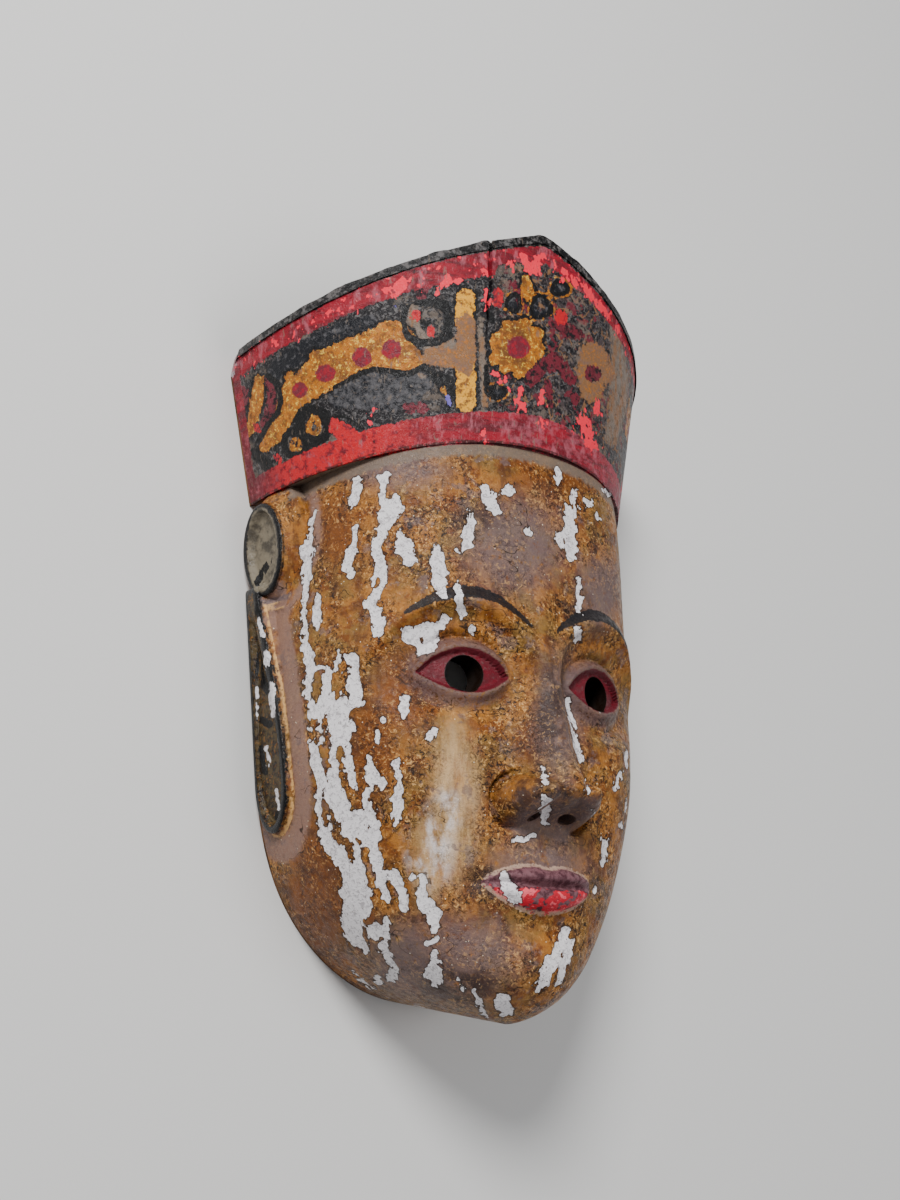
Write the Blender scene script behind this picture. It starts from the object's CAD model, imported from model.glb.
import math

import bpy
import numpy as np
from mathutils import Matrix, Vector


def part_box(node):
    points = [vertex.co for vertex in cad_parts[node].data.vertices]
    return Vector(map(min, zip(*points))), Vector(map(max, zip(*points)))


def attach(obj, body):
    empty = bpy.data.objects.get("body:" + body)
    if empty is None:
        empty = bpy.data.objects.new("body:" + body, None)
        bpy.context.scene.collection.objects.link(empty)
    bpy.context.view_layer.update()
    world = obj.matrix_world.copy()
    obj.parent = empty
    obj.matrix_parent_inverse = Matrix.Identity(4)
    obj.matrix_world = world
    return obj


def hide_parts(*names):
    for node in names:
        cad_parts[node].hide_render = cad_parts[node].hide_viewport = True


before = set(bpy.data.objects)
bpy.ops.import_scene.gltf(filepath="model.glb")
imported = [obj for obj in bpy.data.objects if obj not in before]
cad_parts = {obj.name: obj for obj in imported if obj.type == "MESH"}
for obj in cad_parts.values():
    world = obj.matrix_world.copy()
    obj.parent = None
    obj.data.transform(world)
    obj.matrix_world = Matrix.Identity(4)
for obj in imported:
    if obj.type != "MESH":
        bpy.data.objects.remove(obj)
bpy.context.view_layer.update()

# Sizes of the mask in metres, worked out from the CAD solid
MASK_LOW, MASK_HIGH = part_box("carved_mask")
MASK_HEIGHT = MASK_HIGH[1] - MASK_LOW[1]
MM = MASK_HEIGHT / 292
FACE_LENGTH = 206 * MM
FACE_HALF_WIDTH = 74 * MM
FACE_DEPTH = 82 * MM
CHIN_DEPTH = 56 * MM
CHIN_UNDERCUT = 8 * MM
FACE_SQUARENESS = 2.6

CAP_TOP_HALF_WIDTH = 89 * MM
CAP_TOP_DEPTH = 89.5 * MM
CAP_TOP_DROP = 38 * MM
CAP_FOOT_HALF_WIDTH = 77.5 * MM
CAP_FOOT_DEPTH = 83 * MM
CAP_FOOT_DROP = 12 * MM
CAP_SQUARENESS = 2.2
CAP_BEVEL = 4 * MM

SIDE_WALL = 10 * MM
FRONT_WALL = 12 * MM
CHIN_WALL = 24 * MM
CAP_WALL = 22 * MM
HOLLOW_SQUARENESS = 2.3

EAR_TOP = 44 * MM
EAR_LENGTH = 124 * MM
EAR_BOWL_HEIGHT = 36 * MM
EAR_WIDTH = 24 * MM
EAR_BACK = 1 * MM
EAR_STAND = 5 * MM
EAR_LEAN = math.radians(5.5)
EAR_RIM = 2.4 * MM
EAR_FLARE = 9 * MM
EAR_DISH_DEPTH = 2.6 * MM
EAR_EDGE = 1.2 * MM
BOWL_TILT = 0.14
BOWL_STRETCH = 1.12

EYE_HOLE_DIAMETER = 13.5 * MM
NOSTRIL_DIAMETER = 7 * MM
NOSTRIL_DEPTH = 7 * MM
CRACK_OFFSET = -24 * MM
CRACK_WIDTH = 1.6 * MM
CRACK_DEPTH = 5 * MM
OVERRUN = 12 * MM
# How far the cap's broken corner reaches along its top edge, down its side and towards the front
CORNER_ALONG = 3.5 * MM
CORNER_DOWN = 8 * MM
CORNER_FORWARD = 10 * MM

# Sizes of the wear and of the tool marks
CHIP_DEPTH = 0.35 * MM
GOUGE_DEPTH = 0.7 * MM
GOUGE_WIDTH = 9 * MM
SURFACE_WAVE = 0.3 * MM
EDGE_WEAR = 0.8 * MM
RIDGE_HEIGHT = 0.7 * MM
RELIEF_SEED = 7.0

# How rough or shiny each surface is, and the height of the lacquer's fine grit
LACQUER_ROUGHNESS = 0.3
WORN_ROUGHNESS = 0.62
EAR_ROUGHNESS = 0.22
CHIP_ROUGHNESS = 0.85
WOOD_ROUGHNESS = 0.75
LACQUER_SHINE = 0.24
GRIT_HEIGHT = 0.5 * MM

# Painted bands of the cap, as shares of its height
UPPER_BAND_TOP = 0.94
UPPER_BAND_FOOT = 0.86
UPPER_BAND_LEFT_FOOT = 0.82
LOWER_BAND_TOP = 0.15
CAP_ROOF_FROM = 0.96
# Places round the cap's wall, in mm from its middle: where the upper band narrows, where both bands
# end, and from where on the pattern of the unseen side is that of the seen side in reverse
BAND_NARROWS = -20
BAND_END = 131
TURN_OF_PATTERN = 62
# The same places for the brighter stretch of the lower band, left of the middle, for where the
# ground gets busy with strokes, and for where the bands start to dull towards their ends
BRIGHTER_FROM, BRIGHTER_FULL = 35, 75
BRIGHTER_ENDS, BRIGHTER_DIMS = 130, 108
BUSY_FROM, BUSY_FULL = -22, -12
DULL_FROM = 110
# How far out, as shares of the cap's section, its painted wall starts and its bare roof ends
WALL_FROM = 0.972
ROOF_INSIDE = 0.955
# Sizes in mm: the cap's middle radius, its paint below the step, the line at its foot, its pale
# corner, and the depth to which the ears are painted
CAP_RADIUS = 80
FOOT_LAP = 0.6
FOOT_LINE = 0.9
PALE_CORNER = 5.5
EAR_PAINT = 3.4
# Black borders of the ear's bowl and lobe in mm, and how much wider they get on one side
BOWL_BORDER, BOWL_WIDER = 1.8, 1.6
LOBE_BORDER, LOBE_WIDER = 2.6, 2.2
# Fields are kept to this many mm either side of their edge
FIELD_REACH = 20

# Lights: distance and size in metres, power in watts
KEY_LIGHT = (1.6, 0.55, 31)
FILL_LIGHT = (1.8, 1.0, 10)
SKY_STRENGTH = 0.26

# Places on the mask that follow from the sizes
CHIN_Y = -MASK_HEIGHT / 2
CAP_PEAK_Y = MASK_HEIGHT / 2
CAP_FOOT_Y = CHIN_Y + FACE_LENGTH
THIRD = FACE_LENGTH / 3
EYE_WIDTH = 2 * FACE_HALF_WIDTH / 5
WIDEST_Y = CHIN_Y + 2.04 * THIRD
CROWN_Y = CAP_FOOT_Y + 0.6 * (CAP_PEAK_Y - CAP_FOOT_Y - CAP_TOP_DROP / 2)
CHIN_ROUND = 0.36 * THIRD
EYE_LEVEL = 1.72
MOUTH_LEVEL = 2 / 3
MOUTH_HALF = 0.8
EAR_MIDDLE = EAR_TOP - EAR_LENGTH / 2

# Camera at the photograph's angle on the lying mask
PHOTO_WIDTH = 900
PHOTO_HEIGHT = 1200
CAMERA_TURN = math.radians(33)
CAMERA_DROP = math.radians(14.8)
CAMERA_DISTANCE = 600 * MM
FOCAL_PIXELS = 1481
VIEW_CENTRE = (418, 654.6)
SENSOR = 36

camera_back = Vector((
    -math.sin(CAMERA_TURN) * math.cos(CAMERA_DROP),
    -math.sin(CAMERA_DROP),
    math.cos(CAMERA_TURN) * math.cos(CAMERA_DROP),
))
camera_right = Vector((math.cos(CAMERA_TURN), 0, math.sin(CAMERA_TURN)))
camera_up = camera_back.cross(camera_right)

# Wear and painted figures as they lie in the photograph. Each stroke is a row of points,
# and each point gives its pixel across, its pixel down and half the stroke's width in pixels.
# A stroke of one point is a dot.
WHITE_CHIPS = (
    ((357, 483, 6.3), (356, 494, 5.2), (351, 503, 4.6), (349, 508, 2)),
    ((379, 478, 3.7), (388, 477, 4.1)),
    (
        (383, 483, 4.1), (384, 492, 5), (391, 506, 13.2), (385, 517, 8.7), (386, 529, 4.8),
        (379, 537, 4.8), (376, 546, 5.2), (377, 553, 5.6), (382, 562, 5), (380, 571, 6.7),
        (378, 584, 7.2), (377, 595, 3.7), (370, 604, 5), (376, 611, 5.4), (379, 621, 6), (379, 628, 5.2),
        (376, 634, 2.8),
    ),
    ((400, 532, 2.6), (401, 540, 6.5), (406, 549, 9.2), (409, 558, 7.2), (409, 563, 3.3)),
    (
        (355, 528, 2.4), (354, 535, 3.3), (355, 546, 3.5), (350, 556, 5.4), (347, 564, 6.3),
        (350, 573, 4.1), (350, 577, 1.5),
    ),
    (
        (316, 507, 1.1), (312, 518, 2.4), (310, 531, 1.3), (310, 541, 4.1), (306, 550, 4.8),
        (306, 562, 4.8), (306, 572, 4.8), (306, 584, 3), (306, 598, 3.3), (303, 610, 1.1),
        (304, 616, 2.4), (305, 628, 2.7), (305, 640, 2.9),
    ),
    ((311, 546, 3.3), (318, 548, 0.9)),
    ((318, 595, 2.2), (317, 604, 3.9), (318, 615, 3.3), (317, 624, 3), (317, 629, 2.2)),
    ((435, 545, 3.5), (438, 556, 6.3), (439, 568, 7.2), (440, 582, 8.2), (444, 594, 4.3)),
    ((458, 587, 2.2), (458, 603, 2.8)),
    ((457, 550, 2.4), (460, 552, 1.7)),
    ((484, 485, 4.6), (489, 495, 6.2), (494, 505, 6.4), (496, 511, 4)),
    ((509, 491, 6.4), (512, 487, 4)),
    ((558, 470, 4), (559, 483, 2.4)),
    ((469, 511, 1.6), (472, 522, 5.1), (469, 533, 6.7), (467, 542, 6.2), (465, 548, 2.1)),
    ((528, 530, 3.5), (532, 537, 1.9)),
    ((574, 492, 3.3), (576, 510, 1.9)),
    ((588, 501, 4.6), (591, 506, 2.4)),
    ((598, 518, 2.9),),
    ((567, 503, 1.3), (570, 513, 4.6), (571, 526, 6.4), (571, 540, 7), (572, 550, 5.4), (572, 558, 4.6)),
    ((559, 537, 5.6), (562, 548, 3.5)),
    ((457, 582, 1.1), (460, 591, 3.7), (460, 603, 3.5), (462, 613, 4.6)),
    ((579, 580, 2.1), (579, 595, 2.7), (580, 611, 2.7)),
    ((578, 629, 3.5), (578, 640, 3.2)),
    ((604, 489, 1.3), (609, 495, 1.6)),
    ((471, 629, 3.5), (474, 634, 1.9)),
    (
        (304, 640, 3.4), (308, 654, 5), (312, 667, 5.3), (308, 682, 4.2), (307, 693, 3.4), (312, 705, 5),
        (317, 714, 5),
    ),
    ((312, 666, 4.2), (320, 667, 1.4)),
    ((327, 668, 2.8), (327, 681, 4.5), (323, 696, 5.6), (320, 707, 7)),
    ((337, 652, 2), (338, 672, 2)),
    ((346, 658, 3.4), (353, 658, 4.5), (354, 669, 4.5), (355, 681, 6.2), (356, 693, 8.1), (355, 700, 8.1)),
    (
        (336, 706, 14), (338, 721, 12.3), (340, 737, 10.9), (333, 749, 4.5), (334, 765, 5),
        (332, 777, 6.5), (336, 791, 7.6), (341, 806, 7.9), (344, 821, 7.3),
    ),
    ((346, 724, 7), (353, 728, 4.2)),
    ((348, 747, 3.6), (348, 765, 5), (351, 780, 4.8), (355, 792, 1.4)),
    ((307, 707, 1.1), (310, 721, 1.1), (311, 735, 0.8)),
    ((319, 719, 1.4), (320, 737, 2.2), (321, 744, 1.4)),
    (
        (312, 742, 2.2), (314, 756, 5.3), (318, 770, 6.5), (323, 783, 6.5), (329, 799, 6.2),
        (337, 810, 7), (344, 823, 7),
    ),
    ((319, 787, 1.7), (318, 806, 3.1), (320, 820, 3.1), (324, 832, 4.5), (332, 844, 5.9), (339, 854, 6.5)),
    ((329, 815, 1.4), (330, 825, 2.2), (334, 832, 2.2)),
    ((368, 756, 2.2), (370, 769, 5), (373, 780, 6.2), (381, 784, 4.8)),
    ((369, 789, 3.6), (365, 806, 3.9), (369, 820, 8.4), (369, 836, 12.3)),
    ((350, 827, 7), (356, 834, 8.4)),
    ((377, 808, 1.7), (378, 810, 1.1)),
    ((396, 763, 3.6), (397, 773, 4.8), (399, 787, 3.9), (397, 801, 5.9), (397, 815, 5.3), (397, 824, 2)),
    ((399, 820, 3.4), (404, 818, 1.7)),
    ((404, 698, 3.9), (404, 709, 5), (405, 717, 1.7)),
    ((383, 720, 3.1), (383, 723, 2)),
    ((379, 726, 1.1), (377, 741, 1)),
    ((430, 737, 4.8), (433, 730, 3.1)),
    ((416, 640, 6.3), (422, 651, 2.2)),
    ((406, 640, 2), (412, 642, 2)),
    (
        (322, 822, 2.9), (323, 835, 3.6), (329, 847, 5.1), (338, 858, 5.6), (346, 867, 7),
        (353, 878, 12.6), (356, 893, 15.5), (358, 907, 14.3), (353, 917, 11.6), (351, 927, 10.2),
        (355, 936, 8.5), (362, 945, 5.1), (366, 951, 1.9),
    ),
    ((330, 828, 2.4), (335, 833, 1.5)),
    ((361, 826, 18.2), (361, 836, 17)),
    ((369, 844, 8.5), (374, 854, 7), (379, 866, 5.6), (380, 878, 4.1), (383, 890, 4.8), (388, 898, 3.4)),
    ((357, 845, 5.1), (358, 860, 5.6), (358, 871, 7.3)),
    ((393, 875, 5.3), (397, 884, 6.5), (403, 893, 5.1), (404, 904, 4.8), (405, 909, 3.2)),
    ((375, 930, 7.5), (383, 936, 7.3), (386, 924, 3.2), (386, 916, 1.2)),
    ((383, 941, 6.1), (382, 948, 4.1), (389, 959, 3.4), (394, 969, 3.4), (392, 978, 5.3)),
    ((377, 980, 3.6), (380, 982, 2.7)),
    ((354, 973, 1), (365, 984, 1.7), (376, 993, 1)),
    (
        (412, 879, 1.5), (416, 874, 1.2), (422, 875, 2.7), (425, 882, 4.1), (421, 893, 5.3),
        (427, 905, 7.3), (433, 915, 7.5), (435, 925, 4.6), (434, 933, 1.5),
    ),
    ((438, 937, 1), (428, 944, 1)),
    ((434, 954, 3.4), (433, 963, 4.1), (433, 973, 9), (437, 983, 4.6)),
    ((438, 964, 2.9), (442, 962, 1.2)),
    ((453, 976, 1), (458, 980, 0.8), (465, 991, 0.8)),
    ((541, 766, 1.9), (544, 775, 3.5), (546, 783, 1.9)),
    ((543, 795, 1.1), (547, 802, 4.8), (545, 813, 5.4), (545, 822, 3.2)),
    ((505, 873, 2.7), (507, 885, 7), (513, 894, 7.8), (518, 900, 4.6)),
    ((513, 840, 1.6), (523, 838, 2.4), (534, 835, 1.1)),
    ((605, 841, 2.7), (605, 854, 2.4), (603, 865, 1.6)),
    ((627, 753, 2.4), (628, 767, 1.9)),
    ((621, 773, 2.4), (615, 789, 2.1)),
    ((633, 786, 1.3), (628, 810, 2.9)),
    ((621, 823, 1.3), (621, 827, 1.3)),
    ((579, 740, 1.1), (584, 762, 0.8)),
    ((585, 776, 0.8), (594, 815, 0.8)),
    ((596, 888, 1.9), (594, 891, 1.3)),
    ((408, 632, 6), (433, 630, 7), (430, 645, 7), (420, 652, 4)),
    ((446, 618, 4), (440, 628, 4)),
    ((566, 932, 5), (556, 958, 6), (540, 988, 4)),
    ((571, 942, 4), (562, 970, 4), (558, 986, 2)),
    ((552, 958, 4), (545, 975, 5)),
    ((503, 999, 7), (505, 1008, 8)),
    ((474, 991, 1.6), (482, 1010, 2.4), (490, 1028, 1.6)),
    ((568, 700, 1.5), (576, 740, 2.4), (581, 762, 1.4)),
)
PAINT_ISLANDS = (
    ((384, 500, 1.7), (390, 496, 2)),
    ((377, 586, 1.1), (379, 580, 1.7)),
    ((377, 512, 1.5), (376, 516, 1.3)),
    ((394, 502, 0.9),),
    ((398, 500, 0.9), (398, 501, 0.8)),
    ((373, 599, 1.1), (374, 600, 0.9)),
    ((364, 850, 2.9), (365, 855, 2.7)),
    ((358, 840, 1), (360, 842, 1)),
    ((365, 922, 2.4), (365, 925, 2.2)),
    ((370, 827, 1.5), (371, 828, 1.2)),
    ((368, 936, 1.2), (369, 942, 1.5)),
    ((380, 940, 1.2), (381, 941, 1)),
    ((317, 675, 4.2), (317, 693, 3.4), (316, 702, 1.1)),
    ((338, 676, 6.2), (338, 688, 5), (338, 697, 2.5)),
    ((341, 748, 3.4), (340, 759, 3.4), (341, 772, 2.2), (346, 784, 2.2)),
    ((323, 719, 1.7), (324, 733, 2), (325, 752, 2.2), (328, 766, 2.2)),
    ((322, 790, 1.4), (324, 800, 2.5), (327, 808, 2)),
    ((332, 813, 2), (336, 824, 2.2), (338, 832, 2.2)),
    ((373, 794, 3.9), (373, 810, 3.1)),
    ((334, 836, 2.2), (346, 841, 3.4), (352, 850, 2.8)),
    ((371, 827, 1.1), (371, 828, 0.8)),
    ((355, 710, 3.6), (353, 719, 2.8)),
)
GOLD_CLOUD = (
    (
        (263, 448, 4.7), (276, 433, 8.9), (284, 416, 9.4), (291, 397, 12.6), (308, 384, 15.7),
        (325, 370, 19.4), (345, 359, 18.3), (362, 353, 18.8), (376, 348, 19.4), (392, 345, 24.6),
        (409, 358, 13.1), (422, 362, 6.3),
    ),
    ((290, 376, 5.2), (295, 397, 7.8)),
    ((316, 356, 6.8), (324, 361, 10.5)),
    ((395, 327, 6.8), (399, 340, 10.5)),
    ((259, 380, 5.2), (257, 397, 6.3), (254, 413, 5.8), (250, 429, 4.7), (247, 437, 2.1)),
)
GOLD_STRIPE = (
    ((466, 297, 8.9), (465, 319, 9.4)),
    ((466, 366, 9.4), (466, 403, 9.4)),
)
FADED_GOLD = (
    ((466, 322, 9.2), (466, 366, 9.2)),
    ((431, 356, 9.4), (448, 358, 9.9), (460, 356, 7.8)),
    ((592, 352, 10.5), (593, 371, 16.2), (592, 390, 12), (590, 397, 6.3)),
    ((599, 353, 7.8), (607, 376, 7.8)),
)
GOLD_FLOWER = (
    ((518, 346, 25), (518, 347, 25)),
    ((497, 341, 7.3),),
    ((496, 357, 6.8), (496, 358, 6.8)),
    ((509, 326, 6.8),),
    ((524, 324, 6.8), (525, 324, 6.8)),
    ((537, 334, 6.8), (537, 335, 6.8)),
    ((539, 350, 6.8), (539, 351, 6.8)),
    ((534, 363, 6.3),),
    ((520, 371, 6.8), (521, 371, 6.8)),
    ((506, 367, 6.3),),
    ((526, 278, 3.1), (527, 291, 7.3), (528, 296, 4.7)),
    ((443, 389, 3.1), (451, 397, 2.1)),
)
RED_DOTS = (
    ((300, 390, 8.1),),
    ((325, 373, 9.2), (326, 373, 9.2)),
    ((362, 357, 9.9),),
    ((392, 349, 9.9),),
    ((518, 347, 11), (519, 347, 11)),
)
MAROON = (
    ((593, 373, 8.4), (594, 374, 7.8)),
    ((532, 379, 7.3), (542, 367, 7.3), (554, 359, 6.8), (563, 367, 6.8), (571, 380, 5.2)),
    ((552, 322, 3.7), (570, 331, 7.3), (583, 335, 3.1)),
    ((421, 282, 12), (422, 295, 5.2)),
    ((410, 408, 6.3), (411, 408, 6.3)),
    ((422, 408, 5.8), (423, 409, 5.2)),
    ((269, 379, 4.2), (272, 397, 5.2), (269, 416, 4.7), (263, 425, 3.7)),
    ((243, 390, 4.2), (245, 403, 3.1)),
    ((548, 383, 3.7), (550, 405, 3.1)),
    ((575, 397, 4.2), (576, 403, 2.6)),
    ((515, 285, 4.2), (523, 308, 3.7)),
)
BRIGHT_RED = (
    ((498, 293, 5.2), (499, 301, 6.3)),
    ((561, 316, 6.3), (562, 318, 6.3)),
    ((336, 426, 7.8), (345, 433, 9.4), (356, 437, 5.2)),
    ((416, 315, 5.2), (417, 316, 4.7)),
    ((431, 328, 3.7), (431, 334, 3.7)),
    ((276, 456, 3.1), (284, 467, 2.1)),
    ((256, 425, 2.6), (259, 430, 2.6)),
)
PINK_DABS = (
    ((488, 289, 2.6), (488, 305, 4.2)),
    ((489, 371, 2.1), (500, 379, 4.7), (507, 388, 3.1)),
    ((520, 390, 3.1), (521, 397, 2.1)),
    ((521, 404, 6.3), (522, 405, 5.8)),
    ((544, 392, 2.6), (542, 402, 3.7)),
    ((597, 402, 3.1), (599, 414, 2.6)),
    ((584, 412, 4.2), (583, 424, 6.3), (589, 437, 5.8), (595, 448, 4.7)),
    ((569, 431, 2.6), (573, 432, 2.1)),
    ((541, 422, 4.7), (545, 426, 3.7)),
    ((483, 441, 2.1), (482, 430, 1)),
    ((373, 409, 1.6), (370, 425, 3.4)),
    ((562, 268, 2.1), (566, 277, 3.7), (580, 285, 4.2), (590, 295, 4.7), (601, 306, 4.7), (607, 313, 2.6)),
    ((617, 327, 2.1), (619, 331, 2.1)),
    ((524, 256, 4.2), (527, 269, 6.3), (535, 269, 5.8), (542, 255, 4.7)),
    ((514, 271, 3.1), (516, 272, 2.6)),
    ((481, 268, 2.6), (485, 273, 3.1)),
    ((451, 274, 2.6), (447, 281, 5.2), (439, 286, 3.1)),
    ((387, 291, 5.2), (397, 286, 6.8), (406, 281, 3.7)),
    ((328, 311, 2.1), (327, 318, 1.6)),
    ((269, 341, 1.8), (280, 339, 1)),
    ((311, 324, 1.3), (312, 328, 1)),
    ((437, 291, 2.1), (439, 299, 1.3)),
    ((452, 282, 3.1), (460, 280, 2.1)),
)
DARK_CLOUD = (
    ((340, 397, 11.5), (366, 390, 18.8), (390, 392, 19.9), (410, 387, 15.7), (427, 380, 8.9)),
    ((452, 305, 7.3), (449, 316, 5.2)),
)
NIGHT_CLOUD = (
    ((370, 322, 7.8), (342, 333, 11), (316, 343, 9.9), (290, 358, 11.5), (277, 371, 8.9)),
)
INK_LINES = (
    (
        (335, 387, 2.6), (345, 382, 2.1), (361, 373, 3.1), (376, 369, 2.6), (387, 370, 2.6),
        (399, 374, 3.1), (410, 373, 3.1), (424, 367, 3.7), (434, 375, 3.7), (439, 384, 3.1),
    ),
    (
        (268, 376, 3.1), (277, 384, 3.7), (281, 400, 2.6), (278, 413, 2.6), (267, 425, 2.6),
        (261, 437, 3.1), (258, 442, 2.1),
    ),
    ((254, 452, 4.7), (267, 464, 6.3), (273, 475, 3.1)),
    (
        (299, 422, 4.2), (303, 413, 5.8), (314, 409, 5.2), (324, 414, 5.2), (328, 426, 4.7),
        (325, 437, 4.7), (315, 442, 5.2), (305, 437, 5.2), (299, 422, 4.2),
    ),
    (
        (284, 439, 3.1), (290, 431, 3.7), (299, 433, 4.2), (306, 442, 3.1), (306, 452, 4.2),
        (295, 458, 3.7), (286, 452, 3.1), (284, 439, 3.1),
    ),
    ((327, 418, 2.1), (344, 416, 1.8), (357, 424, 1.8), (363, 431, 1.3)),
    (
        (406, 308, 3.1), (403, 322, 2.6), (408, 336, 3.7), (418, 343, 4.2), (437, 342, 4.2),
        (447, 335, 5.8), (450, 316, 4.7), (444, 305, 5.8), (429, 302, 3.7), (413, 303, 2.1),
    ),
    ((420, 311, 2.1), (424, 327, 3.1), (429, 322, 2.6)),
    ((486, 308, 3.1), (492, 320, 3.1)),
    ((554, 310, 2.1), (566, 316, 1.6)),
    ((435, 376, 5.2), (450, 380, 4.7), (452, 397, 4.2), (447, 410, 3.1)),
    ((486, 366, 2.1), (488, 392, 3.7), (499, 400, 3.1)),
)
GREY_BARE = (
    ((481, 319, 2.1), (482, 356, 3.1), (485, 376, 3.7), (484, 408, 3.1), (480, 418, 1.6)),
    ((413, 308, 5.2), (414, 327, 5.8), (429, 340, 3.1)),
    ((429, 348, 5.8), (452, 345, 6.3)),
    ((410, 366, 2.6), (424, 376, 2.1)),
    ((618, 345, 6.3), (620, 376, 8.9), (617, 413, 8.9), (612, 439, 6.8)),
    ((613, 322, 3.1), (617, 340, 4.7)),
)
NECK_SHADE = (
    ((250, 601, 4.5), (268, 603, 4), (284, 598, 3), (291, 594, 1.5)),
)
NECK_RIDGES = (
    ((254, 604, 0.9), (268, 606, 1), (283, 602, 0.8)),
    ((256, 610, 0.9), (271, 611, 1), (285, 607, 0.8)),
)
VIOLET_DABS = (
    ((447, 397, 2.1), (450, 403, 2.4)),
    ((395, 306, 1.3), (397, 308, 1)),
)
EAR_INK = (
    ((270, 559, 2.8), (264, 571, 3.7), (257, 583, 3)),
    (
        (264, 619, 4.1), (269, 632, 3.2), (273, 651, 2.1), (276, 674, 2.1), (279, 697, 2.3),
        (284, 715, 3), (286, 742, 3.4), (287, 777, 3.4), (285, 800, 3.7), (278, 817, 3.7),
    ),
    ((263, 682, 3.7), (268, 690, 4.6)),
    ((262, 720, 3.2), (269, 724, 4.1)),
    ((261, 747, 2.3), (265, 773, 2.8)),
    ((258, 651, 1.4), (257, 678, 1.4)),
)
EAR_CHIPS = (
    ((259, 619, 1.6), (262, 632, 2.8), (264, 637, 1.4)),
    ((268, 651, 2.8), (267, 663, 3.2)),
    ((262, 669, 2.1), (263, 671, 1.4)),
    ((273, 680, 2.8), (272, 697, 3.2), (273, 716, 2.1)),
    ((266, 746, 1.6), (269, 765, 1.8)),
    ((277, 791, 1.6), (279, 808, 2.1)),
    ((257, 685, 0.9), (257, 731, 0.8)),
)
# Soiled, rubbed and amber places: middle, half width and half height, in the photograph's pixels
GRIME = (
    (515, 545, 65, 60),
    (600, 590, 30, 45),
    (395, 470, 60, 22),
    (450, 960, 85, 55),
    (540, 870, 60, 40),
    (560, 715, 30, 75),
    (410, 960, 50, 50),
)
RUBBED = (
    (456, 800, 27, 95),
    (428, 862, 18, 50),
)
WHITENED = (
    (430, 850, 26, 46),
    (447, 812, 16, 26),
)
DARKENED = (
    (552, 712, 20, 72),
    (540, 800, 50, 30),
    (575, 605, 20, 18),
    (500, 880, 40, 22),
    (462, 985, 50, 20),
    (470, 520, 30, 16),
)
AMBER = (
    (335, 530, 30, 45),
    (372, 745, 32, 60),
    (318, 900, 40, 110),
    (560, 480, 60, 18),
    (405, 690, 40, 60),
    (530, 740, 25, 30),
    (425, 640, 30, 20),
)
# Curls of cloud on the cap: middle, half width and half height, in the photograph's pixels
CURLS = (
    (514, 303, 7, 9),
    (541, 307, 10, 11),
    (560, 288, 8, 7),
    (498, 392, 7, 6),
)
CURL_HEARTS = ((296, 445, 5, 6), (314, 426, 6, 9))


def smoothstep(value, low, high):
    share = np.clip((value - low) / (high - low), 0, 1)
    return share * share * (3 - 2 * share)


def bell(distance, width):
    return np.exp(-((distance / width) ** 2))


def lerp(start, end, share):
    return start + (end - start) * share


def banded(start, bands):
    """Places along a line of bands, each cut into its own number of equal steps."""
    places = [np.array([start])]
    for end, steps in bands:
        places.append(np.linspace(places[-1][-1], end, steps + 1)[1:])
    return np.concatenate(places)


# Plain forms shared with the CAD solid
def section(angle, squareness):
    across = np.sign(np.sin(angle)) * np.abs(np.sin(angle)) ** (2 / squareness)
    forward = np.sign(np.cos(angle)) * np.abs(np.cos(angle)) ** (2 / squareness)
    return np.stack([across, forward], axis=-1)


def section_loop(squareness, feature_share, feature_steps, side_steps, back_steps):
    """Points of a plan section right round from the middle of the back, each place once."""
    feature_angle = math.asin(feature_share ** (squareness / 2))
    across = np.linspace(0, feature_share, feature_steps + 1)
    front = np.stack([across, (1 - across ** squareness) ** (1 / squareness)], axis=-1)
    side = np.linspace(feature_angle, math.pi / 2, side_steps + 1)[1:]
    behind = np.linspace(math.pi / 2, math.pi, back_steps + 1)[1:]
    half = np.concatenate([front, section(np.concatenate([side, behind]), squareness)])
    other = half[1:-1] * (-1, 1)
    return np.concatenate([half[-1:], other[::-1], half[:-1]])


def face_half_width(y):
    below = np.clip((WIDEST_Y - y) / (WIDEST_Y - CHIN_Y), 0, 1)
    above = np.clip((y - WIDEST_Y) / (CROWN_Y - WIDEST_Y), 0, 1)
    jaw = (1 - below ** 2.8) ** (1 / 2.2)
    crown = (1 - 0.2 * above * above) * np.sqrt(1 - above ** 8)
    return FACE_HALF_WIDTH * np.where(y < WIDEST_Y, jaw, crown)


def face_depth(y):
    chin_front = FACE_DEPTH - 0.1 * THIRD
    round_top = CHIN_Y + CHIN_ROUND
    below = np.clip((round_top - y) / CHIN_ROUND, 0, 1)
    chin = CHIN_DEPTH + (chin_front - CHIN_DEPTH) * np.sqrt(1 - below * below)
    fullest = CHIN_Y + 2.4 * THIRD
    away = np.minimum(1, ((fullest - y) / (fullest - round_top)) ** 2)
    return np.where(y < round_top, chin, lerp(FACE_DEPTH, chin_front, away))


# Relief of the face, where u is eye widths out from its middle and v is thirds of the face up
def lid_lines(u):
    """Heights of the upper and lower lid edge, and how far a place is across the eye."""
    across = (u - 1) / 0.52
    opened = np.maximum(0, 1 - across * across)
    upper = EYE_LEVEL + 0.12 * opened ** 0.8
    lower = EYE_LEVEL - 0.09 * opened
    return upper, lower, across, opened


def inside_lids(u, v):
    upper, lower, across, _ = lid_lines(u)
    beyond = np.maximum(0, np.abs(across) - 1) * 0.2
    return np.minimum(upper - v, v - lower) - beyond


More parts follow.
